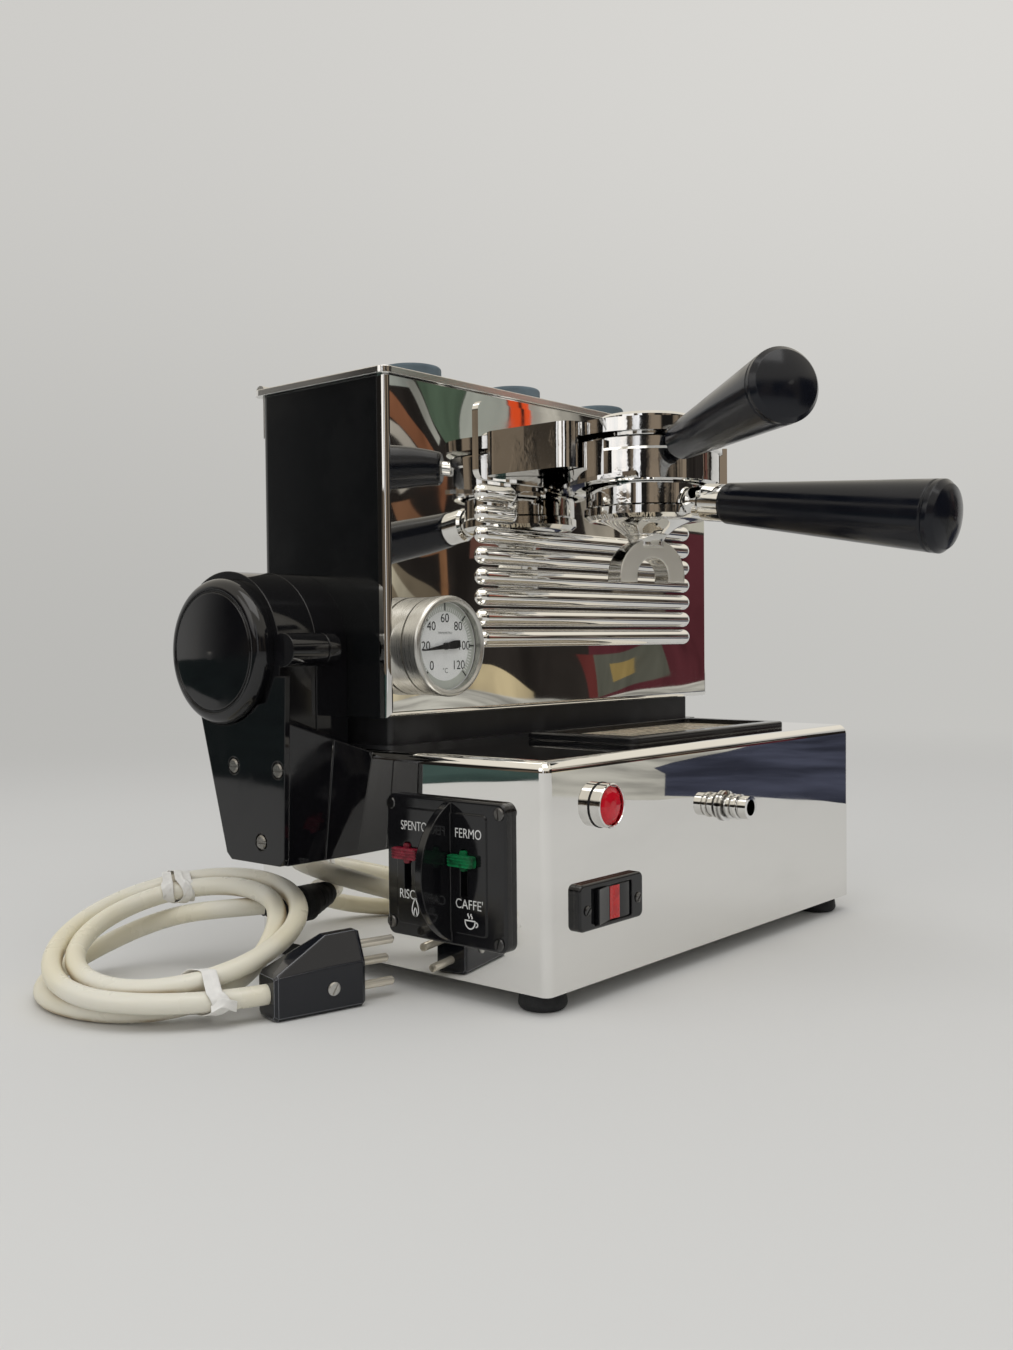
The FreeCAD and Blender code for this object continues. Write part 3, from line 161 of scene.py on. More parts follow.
def places(tree, scale=(1, 1, 1)):
    """Object coordinates, stretched along the axes."""
    source = add(tree, "ShaderNodeTexCoord").outputs["Object"]
    return add(tree, "ShaderNodeMapping", {"Vector": source, "Scale": scale}).outputs[0]


def noise(tree, where, scale, detail=3.0, roughness=0.55):
    """Cloudy value about a half."""
    values = {"Vector": where, "Scale": scale, "Detail": detail, "Roughness": roughness}
    return add(tree, "ShaderNodeTexNoise", values).outputs["Fac"]


def ramp(tree, value, low, high, bottom=0.0, top=1.0):
    """Value between low and high spread over bottom to top, clamped, with soft ends."""
    values = {"Value": value, "From Min": low, "From Max": high, "To Min": bottom, "To Max": top}
    return add(tree, "ShaderNodeMapRange", values, interpolation_type="SMOOTHSTEP").outputs["Result"]


def blend(tree, share, first, second):
    """Colour between two colours."""
    node = add(tree, "ShaderNodeMix", data_type="RGBA")
    for key, value in ((0, share), (6, first), (7, second)):
        if isinstance(value, bpy.types.NodeSocket):
            tree.links.new(value, node.inputs[key])
        else:
            node.inputs[key].default_value = value if key == 0 else (*value[:3], 1)
    return node.outputs[2]


def maths(tree, operation, first, second):
    """Value of one operation on two values."""
    return add(tree, "ShaderNodeMath", {0: first, 1: second}, operation=operation).outputs[0]


def alike(tree, first, second):
    """Dot product of two directions."""
    node = add(tree, "ShaderNodeVectorMath", {0: first, 1: second}, operation="DOT_PRODUCT")
    return node.outputs["Value"]


def openness(tree, reach):
    """How open a place is within a reach: one on a bare face, less in a crease."""
    return add(tree, "ShaderNodeAmbientOcclusion", {"Distance": reach}, samples=8).outputs["AO"]


def shader(name, **values):
    """New material with its tree and principled shader, whose plain values are set on its own sockets."""
    material = bpy.data.materials.new(name)
    material.use_nodes = True
    principled = material.node_tree.nodes["Principled BSDF"]
    for key, value in values.items():
        principled.inputs[key.replace("_", " ")].default_value = value
    return material, material.node_tree, principled


def feed(tree, principled, colour=None, rough=None, height=None, depth=0.0, strength=1.0, edge=0.0):
    """Links colour, roughness and a bump of a height field, over edges softened to a radius."""
    if colour is not None:
        tree.links.new(colour, principled.inputs["Base Color"])
    if rough is not None:
        tree.links.new(rough, principled.inputs["Roughness"])
    if height is not None:
        values = {"Height": height, "Distance": depth, "Strength": strength}
        if edge:
            values["Normal"] = add(tree, "ShaderNodeBevel", {"Radius": edge}, samples=6).outputs[0]
        tree.links.new(add(tree, "ShaderNodeBump", values).outputs[0], principled.inputs["Normal"])


# Finishes


SPOUT_TURN = -25.0  # degrees that the spout's face is turned from the front
MOTOR_SEAM = -0.020  # metres from the base's left side to the seam of the motor's housing
# near-black of the painted shade in a plate's grooves
GROOVE_SHADE = (0.045, 0.040, 0.036)
# pale grey-blue of the painted highlight along moulded edges
PAINTED_EDGE_HIGHLIGHT = (0.30, 0.31, 0.33)
# brown of the painted shade in the cord's creases
CORD_CREASE_SHADE = (0.40, 0.29, 0.15)
BLASTED_FACE = (0.72, 0.69, 0.62)


def mirror_sheet(name, colour, depth=0.0016, edge=0.0, gloss=(0.018, 0.05), bare=1.0):
    """Hand-polished sheet: slow waves of a depth and wiping smears, with edges softened where it is thin."""
    material, tree, principled = shader(name, Metallic=bare)
    waves = noise(tree, places(tree, (1, 1, 1.4)), 8.0, 1.0)
    smears = ramp(tree, noise(tree, places(tree, (9, 9, 30)), 1.0, 4.0), 0.45, 0.75)
    dull = blend(tree, smears, colour, [0.95 * c for c in colour])
    feed(tree, principled, dull, ramp(tree, smears, 0, 1, *gloss), waves, depth, 1.0, edge)
    return material


def plated(name, colour, shade_reach=0.0):
    """Bright plate: slight milky patches, small pits and, over a reach, painted shade darkening its grooves.
    """
    material, tree, principled = shader(name, Metallic=1.0)
    milky = ramp(tree, noise(tree, places(tree), 60.0, 4.0), 0.45, 0.7)
    pits = ramp(tree, noise(tree, places(tree), 900.0, 2.0), 0.68, 0.8)
    rough = maths(tree, "ADD", ramp(tree, milky, 0, 1, 0.035, 0.10), ramp(tree, pits, 0, 1, 0, 0.15))
    tone = blend(tree, milky, colour, [0.9 * c for c in colour])
    if shade_reach:
        # painted shade: grooves and creases darkened by how closed in they are over the reach
        tone = blend(tree, ramp(tree, openness(tree, shade_reach), 0.45, 0.85, 0.85, 0.0), tone, GROOVE_SHADE)
    feed(tree, principled, tone, rough, milky, 0.00004)
    return material


def brushed(name, colour):
    """Satin metal: fine lines across y, with cloudy tone."""
    material, tree, principled = shader(name, Metallic=1.0)
    lines = noise(tree, places(tree, (40, 2600, 40)), 1.0, 3.0, 0.7)
    cloud = noise(tree, places(tree), 90.0, 2.0)
    colours = blend(tree, ramp(tree, cloud, 0.35, 0.7), colour, [0.88 * c for c in colour])
    feed(tree, principled, colours, ramp(tree, lines, 0.3, 0.7, 0.24, 0.38), lines, 0.00002)
    return material


def blasted(name, colour, front):
    """Bright plate whose flat faces towards one direction are pale and bead-blasted."""
    material, tree, principled = shader(name, Metallic=1.0)
    normal = add(tree, "ShaderNodeTexCoord").outputs["Normal"]
    flat = ramp(tree, alike(tree, normal, front), 0.93, 0.98)
    grain = noise(tree, places(tree), 1800.0, 2.0)
    rough = maths(tree, "ADD", ramp(tree, flat, 0, 1, 0.05, 0.34), ramp(tree, grain, 0.3, 0.7, 0.0, 0.06))
    tree.links.new(ramp(tree, flat, 0, 1, 1.0, 0.6), principled.inputs["Metallic"])
    feed(tree, principled, blend(tree, flat, colour, BLASTED_FACE), rough, grain, 0.00001, edge=0.0015)
    return material


def edge_mask(tree, width):
    """One on creases and edges: how far a softened normal leaves the flat one."""
    soft = add(tree, "ShaderNodeBevel", {"Radius": width}, samples=8).outputs[0]
    flat = add(tree, "ShaderNodeNewGeometry").outputs["Normal"]
    return ramp(tree, alike(tree, soft, flat), 0.93, 0.995, 0.8, 0.0)


def moulded(name, colour, gloss=(0.05, 0.13), dust=0.03, seam=None, edge=0.0008, shine=0.5, wear_and_highlight=0.0):
    """Polished black moulding: handling haze, fine dust, sink marks, a seam across x where it is split, and
    edges paled over a width by a painted highlight."""
    material, tree, principled = shader(name, Specular_IOR_Level=shine)
    haze = ramp(tree, noise(tree, places(tree), 38.0, 4.0), 0.4, 0.72)
    specks = ramp(tree, noise(tree, places(tree), 2600.0, 1.0), 0.70, 0.80)
    patchy = maths(tree, "MULTIPLY", specks, ramp(tree, noise(tree, places(tree), 60.0, 2.0), 0.45, 0.7))
    pale = [c + dust for c in colour]
    rough = maths(tree, "ADD", ramp(tree, haze, 0, 1, *gloss), ramp(tree, patchy, 0, 1, 0, 0.3))
    height = maths(tree, "MULTIPLY", noise(tree, places(tree), 30.0, 2.0), 0.12)
    if seam is not None:
        along = add(tree, "ShaderNodeSeparateXYZ", {0: places(tree)}).outputs["X"]
        off = maths(tree, "ABSOLUTE", maths(tree, "SUBTRACT", along, seam), 0.0)
        height = maths(tree, "ADD", height, ramp(tree, off, 0.0001, 0.0006))
    tone = blend(tree, patchy, colour, pale)
    # painted highlight: edges over the given width paled as if they caught the light
    if wear_and_highlight:
        tone = blend(tree, edge_mask(tree, wear_and_highlight), tone, PAINTED_EDGE_HIGHLIGHT)
    feed(tree, principled, tone, rough, height, 0.0004, edge=edge)
    return material


def satin_black(name, colour):
    """Satin black paint with a fine texture and rubbed patches."""
    material, tree, principled = shader(name, Specular_IOR_Level=0.4)
    rubbed = ramp(tree, noise(tree, places(tree), 45.0, 4.0), 0.45, 0.75)
    texture = noise(tree, places(tree), 1500.0, 2.0)
    colours = blend(tree, rubbed, colour, [1.7 * c + 0.004 for c in colour])
    feed(tree, principled, colours, ramp(tree, rubbed, 0, 1, 0.32, 0.5), texture, 0.00005, 0.5)
    return material


def rubbery(name, colour):
    """Matt rubber: bloom in patches and a sandy grain."""
    material, tree, principled = shader(name, Specular_IOR_Level=0.3)
    bloom = ramp(tree, noise(tree, places(tree), 70.0, 5.0), 0.4, 0.75)
    grain = noise(tree, places(tree), 2200.0, 2.0)
    colours = blend(tree, bloom, colour, [1.35 * c + 0.008 for c in colour])
    feed(tree, principled, colours, ramp(tree, grain, 0.3, 0.7, 0.55, 0.8), grain, 0.00008, 0.6)
    return material


def oxidised(name, colour, dark, bare=1.0):
    """Bare metal, browned in patches and, with a smaller bare share, dulled all over."""
    material, tree, principled = shader(name, Metallic=bare)
    brown = ramp(tree, noise(tree, places(tree), 55.0, 6.0), 0.4, 0.7)
    rough = ramp(tree, brown, 0, 1, 0.2, 0.45)
    feed(tree, principled, blend(tree, brown, colour, dark), rough, brown, 0.00006)
    return material


def plastic(name, colour, gloss=(0.25, 0.45), wear_and_highlight=0.72, **values):
    """Coloured moulding with mottling, worn down to a share of its colour."""
    material, tree, principled = shader(name, **values)
    mottle = noise(tree, places(tree), 240.0, 4.0)
    colours = blend(tree, ramp(tree, mottle, 0.35, 0.7), colour, [wear_and_highlight * c for c in colour])
    feed(tree, principled, colours, ramp(tree, mottle, 0.3, 0.7, *gloss), mottle, 0.00005)
    return material


def sheathing(name, colour):
    """Cream sheath: yellowed stretches, brown painted shade in patches in the creases between strands and a
    soft sheen.
    """
    material, tree, principled = shader(
        name, Specular_IOR_Level=0.45, Subsurface_Weight=0.06, Subsurface_Radius=(0.004, 0.003, 0.002)
    )
    old = ramp(tree, noise(tree, places(tree), 11.0, 3.0), 0.42, 0.70)
    patches = ramp(tree, noise(tree, places(tree), 34.0, 4.0), 0.40, 0.62)
    # painted shade: brown in the creases between strands, by how closed in they are, in patches
    crease_shade = maths(tree, "MULTIPLY", ramp(tree, openness(tree, 0.006), 0.25, 0.75, 0.8, 0.0), patches)
    yellowed = blend(tree, old, colour, (colour[0] * 0.98, colour[1] * 0.94, colour[2] * 0.82))
    crease_shaded = blend(tree, crease_shade, yellowed, CORD_CREASE_SHADE)
    ripple = noise(tree, places(tree), 420.0, 3.0)
    feed(tree, principled, crease_shaded, ramp(tree, patches, 0, 1, 0.26, 0.40), ripple, 0.00006, 0.5)
    return material


def clear_glass(name):
    """Clear disc with faint dust: mostly see-through, with a little of its own shine."""
    material, tree, principled = shader(name, Roughness=0.02, Base_Color=(0.03, 0.03, 0.03, 1))
    dust = ramp(tree, noise(tree, places(tree), 700.0, 3.0), 0.6, 0.8)
    tree.links.new(ramp(tree, dust, 0, 1, 0.06, 0.12), principled.inputs["Alpha"])
    return material


def finishes(look):
    """Every finish by the name of its material slot."""
    steel, chrome, satin = tuple(look.steel), tuple(look.chrome), tuple(look.satin)
    black = tuple(look.moulding)
    return {
        "polished_steel": mirror_sheet("polished_steel", steel),
        "chrome": plated("chrome", chrome),
        "steel": brushed("satin_steel", satin),
        "nickel": plated("nickel", (0.72, 0.67, 0.58)),
        "black_gloss": moulded("black_moulding", black),
        "black_enamel": moulded("black_enamel", tuple(look.enamel), (0.06, 0.14), 0.015),
        "black_matt": satin_black("satin_black", (0.014, 0.014, 0.015)),
        "rubber": rubbery("black_rubber", tuple(look.rubber)),
        "grey_rubber": rubbery("grey_rubber", tuple(look.buffers)),
        "gasket": rubbery("gasket_rubber", (0.03, 0.026, 0.024)),
        "copper": oxidised("bare_copper", (0.74, 0.42, 0.28), (0.32, 0.16, 0.10)),
        "brass": oxidised("bare_brass", (0.72, 0.56, 0.28), (0.36, 0.25, 0.11)),
        "dial": plastic("dial_face", tuple(look.dial), (0.35, 0.5), 0.96),
        "needle": satin_black("needle_paint", (0.012, 0.012, 0.012)),
        "glass": clear_glass("gauge_glass"),
        "red_lens": plastic(
            "red_lens", tuple(look.lens), (0.02, 0.06), 0.85, Transmission_Weight=0.25, IOR=1.49
        ),
        "red_plastic": plastic("red_button", (0.26, 0.008, 0.028), wear_and_highlight=0.35),
        "green_plastic": plastic("green_button", (0.006, 0.20, 0.065), wear_and_highlight=0.25),
        "cord": sheathing("cord_sheath", tuple(look.sheath)),
        "tape": plastic("white_tape", tuple(look.tape), (0.4, 0.6), 0.93),
        "tank": plastic("pale_plastic", (0.72, 0.74, 0.74), (0.3, 0.5)),
    }


def special_finishes(look):
    """Finishes of single nodes, which differ from the rest of their material slot."""
    black, satin = tuple(look.moulding), tuple(look.satin)
    seamed = moulded("seamed_moulding", black, seam=bench_zero[0] + MOTOR_SEAM)
    grips = moulded("grip_moulding", (0.0050, 0.0060, 0.0100), (0.17, 0.27), 0.015, shine=0.34)
    turned = math.radians(SPOUT_TURN)
    return {
        "motor_housing": seamed,
        "motor_shell": seamed,
        # the plug's edges carry the painted highlight
        "plug_body": moulded("plug_moulding", (0.005, 0.006, 0.010), edge=0.0014, wear_and_highlight=0.0007),
        "clamp_grip": grips,
        "filter_grip": grips,
        "control_plate": moulded("plate_moulding", black, (0.10, 0.18)),
        "drip_tray": moulded("tray_moulding", black, (0.16, 0.28), 0.02),
        "base_housing": mirror_sheet("base_sheet", tuple(look.steel), 0.0006),
        "top_lid": mirror_sheet("lid_sheet", tuple(look.steel), edge=0.0006, gloss=(0.15, 0.24)),
        "plug_pins": mirror_sheet("nickel_pins", (0.82, 0.765, 0.65), 0.0, gloss=(0.22, 0.32), bare=0.6),
        "hose_barb": plated("spigot_plate", tuple(look.chrome), 0.0025),
        "drip_grid": oxidised("tan_mesh", (0.78, 0.69, 0.54), (0.60, 0.50, 0.36), 0.2),
        "twin_spout": blasted("blasted_spout", satin, (math.sin(turned), -math.cos(turned), 0.0)),
        "panel_screws": oxidised("black_screws", (0.09, 0.09, 0.09), (0.22, 0.21, 0.20)),
        "terminal_screws": oxidised("aged_screws", (0.30, 0.29, 0.27), (0.16, 0.15, 0.14)),
    }


# Shapes


FINISH_NAMES = {}  # material of each slot, filled in by the finishes' operator
CAPITAL_SHARE = 0.69  # a capital's height over the size of its letters


def put_mesh(name, points, faces, body, slot, smooth=True, material=None):
    """New piece from an array of frame points and an array of faces, riding on a body."""
    mesh = bpy.data.meshes.new(name)
    mesh.from_pydata(np.asarray(points).reshape(-1, 3).tolist(), [], np.asarray(faces).tolist())
    mesh.polygons.foreach_set("use_smooth", [smooth] * len(mesh.polygons))
    mesh.update()
    return put_piece(name, mesh, body, slot, material)


def put_piece(name, mesh, body, slot, material=None):
    """New piece of a mesh or curve, riding on a body, with its slot's finish or its own."""
    piece = bpy.data.objects.new(name, mesh)
    bpy.context.scene.collection.objects.link(piece)
    mesh.materials.clear()
    mesh.materials.append(material or bpy.data.materials[FINISH_NAMES[slot]])
    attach(piece, body)
    return piece


def grid_faces(rows, columns, around=False, looped=False):
    """Quads of a grid of rows by columns of points; columns close if around, and rows if looped."""
    row = np.arange(rows if looped else rows - 1)[:, None]
    column = np.arange(columns if around else columns - 1)[None, :]
    above, following = (row + 1) % rows, (column + 1) % columns
    corners = (row * columns + column, row * columns + following, above * columns + following,
               above * columns + column)
    return np.stack(np.broadcast_arrays(*corners), -1).reshape(-1, 4)


def round_angles(count):
    """Angles spread evenly all round."""
    return np.linspace(0, 2 * math.pi, count, endpoint=False)


def words_mesh(name, text, height, across, upward, middle, width=None):
    """Flat letters of a capital height, drawn to a width, laid on two directions about a frame point."""
    letters = bpy.data.curves.new(name, "FONT")
    letters.body = text
    letters.align_x = "CENTER"
    letters.align_y = "CENTER"
    letters.size = height / CAPITAL_SHARE
    holder = bpy.data.objects.new(name, letters)
    bpy.context.scene.collection.objects.link(holder)
    bpy.context.view_layer.update()
    ready = holder.evaluated_get(bpy.context.evaluated_depsgraph_get())
    mesh = bpy.data.meshes.new_from_object(ready)
    bpy.data.objects.remove(holder)
    bpy.data.curves.remove(letters)
    mesh.name = name
    if width:
        reach = [corner.co.x for corner in mesh.vertices]
        mesh.transform(Matrix.Diagonal((width / (max(reach) - min(reach)), 1, 1, 1)))
    across, upward = Vector(across), Vector(upward)
    turn = Matrix((across, upward, across.cross(upward))).transposed().to_4x4()
    mesh.transform(Matrix.Translation(Vector(middle)) @ turn)
    return mesh


# Mains cord: places and sizes are in bench millimetres, places along the coil in turns


LEAD_POINTS = (
    (-21.2, 161.5, 32.2), (-27.8, 165.3, 32.0), (-35.2, 171.4, 31.7), (-41.0, 179.0, 30.7),
    (-45.0, 187.9, 29.1), (-49.1, 202.6, 25.1), (-58.9, 215.0, 19.4), (-73.5, 221.8, 13.2),
    (-91.1, 221.5, 7.9),
)
COIL_MIDDLE = (-71.1, 157.5)
COIL_SPAN = (0.5, 2.845)
COIL_START = -46.4  # degrees where a turn begins
FLOOR_LOOP = (64.5, 10.5)  # radius of the first loop and how far its middle is off the coil's
FLOOR_DRIFT = 270  # degrees from a turn's beginning to the way that the loop is off
SPIRAL = (42.1, 10.0)  # radius where the spiral begins and its growth in a turn
LEAN_FOOT = (-130.0, 157.5, 13.0)
LEAN_SLOPE = (0.27, 0.11)
SETTLING = (2.6, 2.831)  # where the last turn leaves the plane for the plug
SETTLED = (4.0, -2.0, 11.0)  # its shift along x and y, and the plug's height
STRAND_REST = 4.6  # height of a strand on the floor
STRAND_RADIUS = 4.5
CORD_TAIL = 6.0  # length inside the plug
TIE_STRANDS = ((1.29, 2.29), (0.8, 1.8, 2.8))
TAPE_SLACK = 0.75
TAPE_WALL = 0.0004  # metres


def ease(turns, first, last):
    """Share that rises from nought at first to one at last, with soft ends."""
    share = np.clip((turns - first) / (last - first), 0, 1)
    return share * share * (3 - 2 * share)


def coil_line(turns):
    """Coil: a loop on the floor, then a flat spiral of growing radius on a plane that leans on it; the last
    turn drifts down to the height of the plug."""
    turns = np.asarray(turns, float)
    wide, off = FLOOR_LOOP
    narrow, growth = SPIRAL
    spiral = narrow + growth * (turns - 1)
    radius = np.where(turns < 1, wide - (wide - narrow) * ease(turns, 0.53, 0.94), spiral)
    shift = np.where(turns < 1, -off * (1 - ease(turns, 0.55, 0.95)), 0.0)
    angle = np.radians(COIL_START + 360 * turns)
    drift = math.radians(COIL_START + FLOOR_DRIFT)
    settle = ease(turns, *SETTLING)
    x = COIL_MIDDLE[0] + radius * np.cos(angle) + shift * math.cos(drift) + SETTLED[0] * settle
    y = COIL_MIDDLE[1] + radius * np.sin(angle) + shift * math.sin(drift) + SETTLED[1] * settle
    leaning = LEAN_FOOT[2] + LEAN_SLOPE[0] * (x - LEAN_FOOT[0]) + LEAN_SLOPE[1] * (y - LEAN_FOOT[1])
    z = STRAND_REST + (leaning - STRAND_REST) * ease(turns, 0.68, 1.06)
    return np.stack((x, y, z + (SETTLED[2] - z) * settle), -1)


def cord_route(per_turn):
    """Control points of the whole cord; the coil's are set out so that the smooth line has its radius."""
    count = int(round((COIL_SPAN[1] - COIL_SPAN[0]) * per_turn)) + 1
    turns = np.linspace(*COIL_SPAN, count)
    coil = coil_line(turns)
    out = 1 / math.cos(math.pi / per_turn)
    middle = np.array(COIL_MIDDLE)
    coil[:, :2] = middle + (coil[:, :2] - middle) * out
    ends = coil_line(np.array((COIL_SPAN[1] - 0.01, COIL_SPAN[1])))
    ahead = (ends[1] - ends[0]) / np.linalg.norm(ends[1] - ends[0])
    coil[-1] = ends[1]
    return on_bench(np.vstack((LEAD_POINTS, coil, coil[-1] + ahead * CORD_TAIL)))


def lay_cord(settings):
    """Cream cord: one smooth line led by the route's control points, with a round section."""
    route = cord_route(settings.turn_points)
    line = bpy.data.curves.new("mains_cord", "CURVE")
    line.dimensions = "3D"
    spline = line.splines.new("NURBS")
    spline.points.add(len(route) - 1)
    spline.points.foreach_set("co", np.column_stack((route, np.ones(len(route)))).ravel())
    spline.order_u = 3
    spline.use_endpoint_u = True
    spline.use_smooth = True
    line.resolution_u = 5
    line.bevel_depth = settings.diameter / 2
    line.bevel_resolution = 6
    line.use_fill_caps = True
    cord = put_piece("mains_cord", line, "machine", "cord")
    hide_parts("cord_lead", "cord_coil")
    return cord


def tie_axes(strands):
    """Places of the strands in a tie, the way out from the coil's middle there and the way along the cord."""
    points = coil_line(np.array(strands))
    outward = np.array((points[0][0] - COIL_MIDDLE[0], points[0][1] - COIL_MIDDLE[1], 0.0))
    outward /= np.linalg.norm(outward)
    return points, outward, np.cross(outward, UP)


def tie_band(name, strands, width, offset=0.0, slant=0.0, lift=0.0):
    """Tape wound round a few strands: at each angle the strand that reaches furthest, plus the strand's
    radius and a crumple of sines, swept over the tape's width, set off along the cord and slanted by a
    cosine."""
    points, outward, along = tie_axes(strands)
    middle = points[0]
    flat = np.stack(((points - middle) @ outward, points[:, 2] - middle[2]), -1)
    angle = round_angles(120)[None, :]
    side = np.linspace(-1, 1, 13)[:, None]
    normal = np.stack((np.cos(angle[0]), np.sin(angle[0])), -1)
    furthest = flat[np.argmax(flat @ normal.T, axis=0)]
    crumple = (0.26 * np.sin(3 * angle + 1.6 * side) + 0.16 * np.sin(5 * angle - 3.1 * side + 0.7)
               + 0.08 * np.sin(11 * angle + 5.2 * side))
    reach = STRAND_RADIUS + TAPE_SLACK + lift + 0.5 * np.abs(crumple) + 0.5 * crumple
    across = furthest[None, :, 0] + reach * normal[None, :, 0]
    rise = furthest[None, :, 1] + reach * normal[None, :, 1]
    pinch = 1 - 0.25 * np.exp(-((angle - 1.6) / 0.5) ** 2) + 0.07 * np.sin(3 * angle + 1.0)
    half = 500 * width  # in millimetres
    shift = side * half * pinch + offset + slant * np.cos(angle) + 0.4 * np.sin(2 * angle + 0.4)
    grid = middle + across[..., None] * outward + rise[..., None] * UP + shift[..., None] * along
    band = put_mesh(name, on_bench(grid), grid_faces(13, 120, True), "machine", "tape")
    finish_ribbon(band)
    return band


def tie_tail(name, strands, width, offset, drift):
    """Loose end of the tape: a ribbon along the outer side of the band near the floor, whose edge twists as
    it runs and curls by a sine."""
    points, outward, along = tie_axes(strands)
    run = np.linspace(0, 1, 24)[:, None]
    side = np.linspace(-1, 1, 9)[None, :]
    reach = (points - points[0]) @ outward
    last = points[np.argmax(reach)]
    line = (last + outward * (4.6 + 1.6 * np.sin(run * 2.6)) + UP * (-2.0 + 2.4 * np.sin(run * 3.0))
            + along * (offset + drift * run))
    twist = 1.1 + 1.3 * run
    edge = np.cos(twist) * outward + np.sin(twist) * UP
    spread = 500 * width * (0.75 - 0.35 * run)  # half the width, in millimetres
    curl = 0.4 * np.sin(7 * run + 3 * side)
    grid = line[:, None, :] + (spread * side)[..., None] * edge[:, None, :] + curl[..., None] * UP
    tail = put_mesh(name, on_bench(grid), grid_faces(24, 9), "machine", "tape")
    finish_ribbon(tail)
    return tail


def finish_ribbon(piece):
    """Gives a tape surface its thickness and a smooth fold."""
    wall = piece.modifiers.new("thickness", "SOLIDIFY")
    wall.thickness = TAPE_WALL
    wall.offset = 0
    smooth = piece.modifiers.new("fold", "SUBSURF")
    smooth.levels = 1
    smooth.render_levels = 1


# Printing


PLATE_FACE = -4.66  # bench x of the print on the switch plate
PLATE_WORDS = (
    # name, word, bench y and z, and width in millimetres
    ("word_off", "SPENTO", 73.9, 76.8, 16.2), ("word_heat", "RISC.", 77.9, 45.1, 10.6),
    ("word_stop", "FERMO", 40.6, 76.2, 15.4), ("word_coffee", "CAFFE'", 40.2, 44.8, 16.0),
)
STROKE_HALF = 0.32


def stroke_band(stroke, half):
    """Band of a half width along a flat line: each point moved both ways across the line's direction."""
    ahead = np.gradient(stroke, axis=0)
    ahead /= np.linalg.norm(ahead, axis=1, keepdims=True)
    across = np.stack((-ahead[:, 1], ahead[:, 0]), -1)
    return np.stack((stroke + half * across, stroke - half * across), 1)


def cup_strokes():
    """Lines of a steaming cup in millimetres: half an ellipse, its rim, a round handle and two waves."""
    share = np.linspace(0, 1, 24)
    bowl = np.stack((-3.0 * np.cos(math.pi * share), 0.6 - 3.6 * np.sin(math.pi * share)), -1)
    rim = np.stack((-3.2 + 6.4 * share, np.full(24, 0.6)), -1)
    turn = np.radians(70 - 150 * share)
    handle = np.stack((3.0 + 1.5 * np.cos(turn), -0.8 + 1.1 * np.sin(turn)), -1)
    steam = [np.stack((x + 0.4 * np.sin(2 * math.pi * share), 1.5 + 2.2 * share), -1) for x in (-0.9, 0.9)]
    return [bowl, rim, handle, *steam]


def heat_strokes():
    """Lines of a rising flame in millimetres: a pointed outer loop about a shorter one."""
    angle = 2 * math.pi * np.linspace(0, 1, 28)
    loops = []
    for width, rise in ((2.6, 4.2), (1.2, 2.0)):
        across = width * np.sin(angle) * np.sin(angle / 2)
        loops.append(np.stack((across, -3.2 + rise * (1 + np.cos(angle))), -1))
    return loops


PLATE_MARKS = (("mark_cup", cup_strokes, 39.8, 37.4), ("mark_heat", heat_strokes, 73.4, 38.8))


def mark_bands(strokes, y, z):
    """Bands along a sign's lines, laid on the switch plate about a place; each is a grid two points wide."""
    grid = np.concatenate([stroke_band(stroke, STROKE_HALF) for stroke in strokes])
    points = np.stack((np.full(grid.shape[:-1], PLATE_FACE), y - grid[..., 0], z + grid[..., 1]), -1)
    rows = [len(stroke) for stroke in strokes]
    starts = np.cumsum([0] + rows[:-1]) * 2
    faces = np.concatenate([start + grid_faces(count, 2) for start, count in zip(starts, rows)])
    return on_bench(points), faces


# The dial's print is in metres from its middle, its needle in millimetres
PRINT_LIFT = 0.00008
BAR_LIFT = 0.00003
RING_DEPTH = 0.00004
SCALE_START = 225  # degrees of nought
SCALE_TURN = 2.25  # degrees for one on the scale
SCALE_END = 120
NUMBER_STEP = 20
NUMBER_RADIUS = 0.0132
DASH_STEP = 2
RING_SPAN = (-0.004, 0.0003)  # spans of radius from the outer end of the ticks
TICK_SPAN = (-0.0036, 0.0)
DASH_SPAN = (-0.0038, -0.0016)
TICK_HALF = 0.00036
DASH_HALF = 0.00030
DIAL_WORDS = (
    # name, word, rise, height and width
    ("dial_word", "TERMOMETRO", 0.0062, 0.0011, 0.0098),
    ("dial_unit", "\u00b0C", -0.0118, 0.0024, None),
)
NEEDLE_TURN = 187.0  # degrees
NEEDLE_TAIL = 9.2
NEEDLE_TIP = 17.6
NEEDLE_HALF = 1.25
NEEDLE_LIFT = 1.2
NEEDLE_WALL = 0.0005  # metres
HUB_PROFILE = (
    # radius and rise
    (1.7, 0.0), (1.7, 1.35), (1.62, 1.55), (1.35, 1.72), (0.95, 1.83), (0.5, 1.89), (0.001, 1.9),
)


def dial_ray(value):
    """Direction from the dial's middle to a value on its scale."""
    angle = np.radians(SCALE_START - SCALE_TURN * np.asarray(value, float))
    return np.stack((np.cos(angle), np.zeros_like(angle), np.sin(angle)), -1)


def scale_ring(centre, inner, outer):
    """Flat ring behind the scale: a radius from inner to outer carried round the middle."""
    radius = np.linspace(inner, outer, 3)[:, None]
    angle = round_angles(96)[None, :]
    behind = np.full((3, 96), RING_DEPTH)
    return centre + np.stack((radius * np.cos(angle), behind, radius * np.sin(angle)), -1)


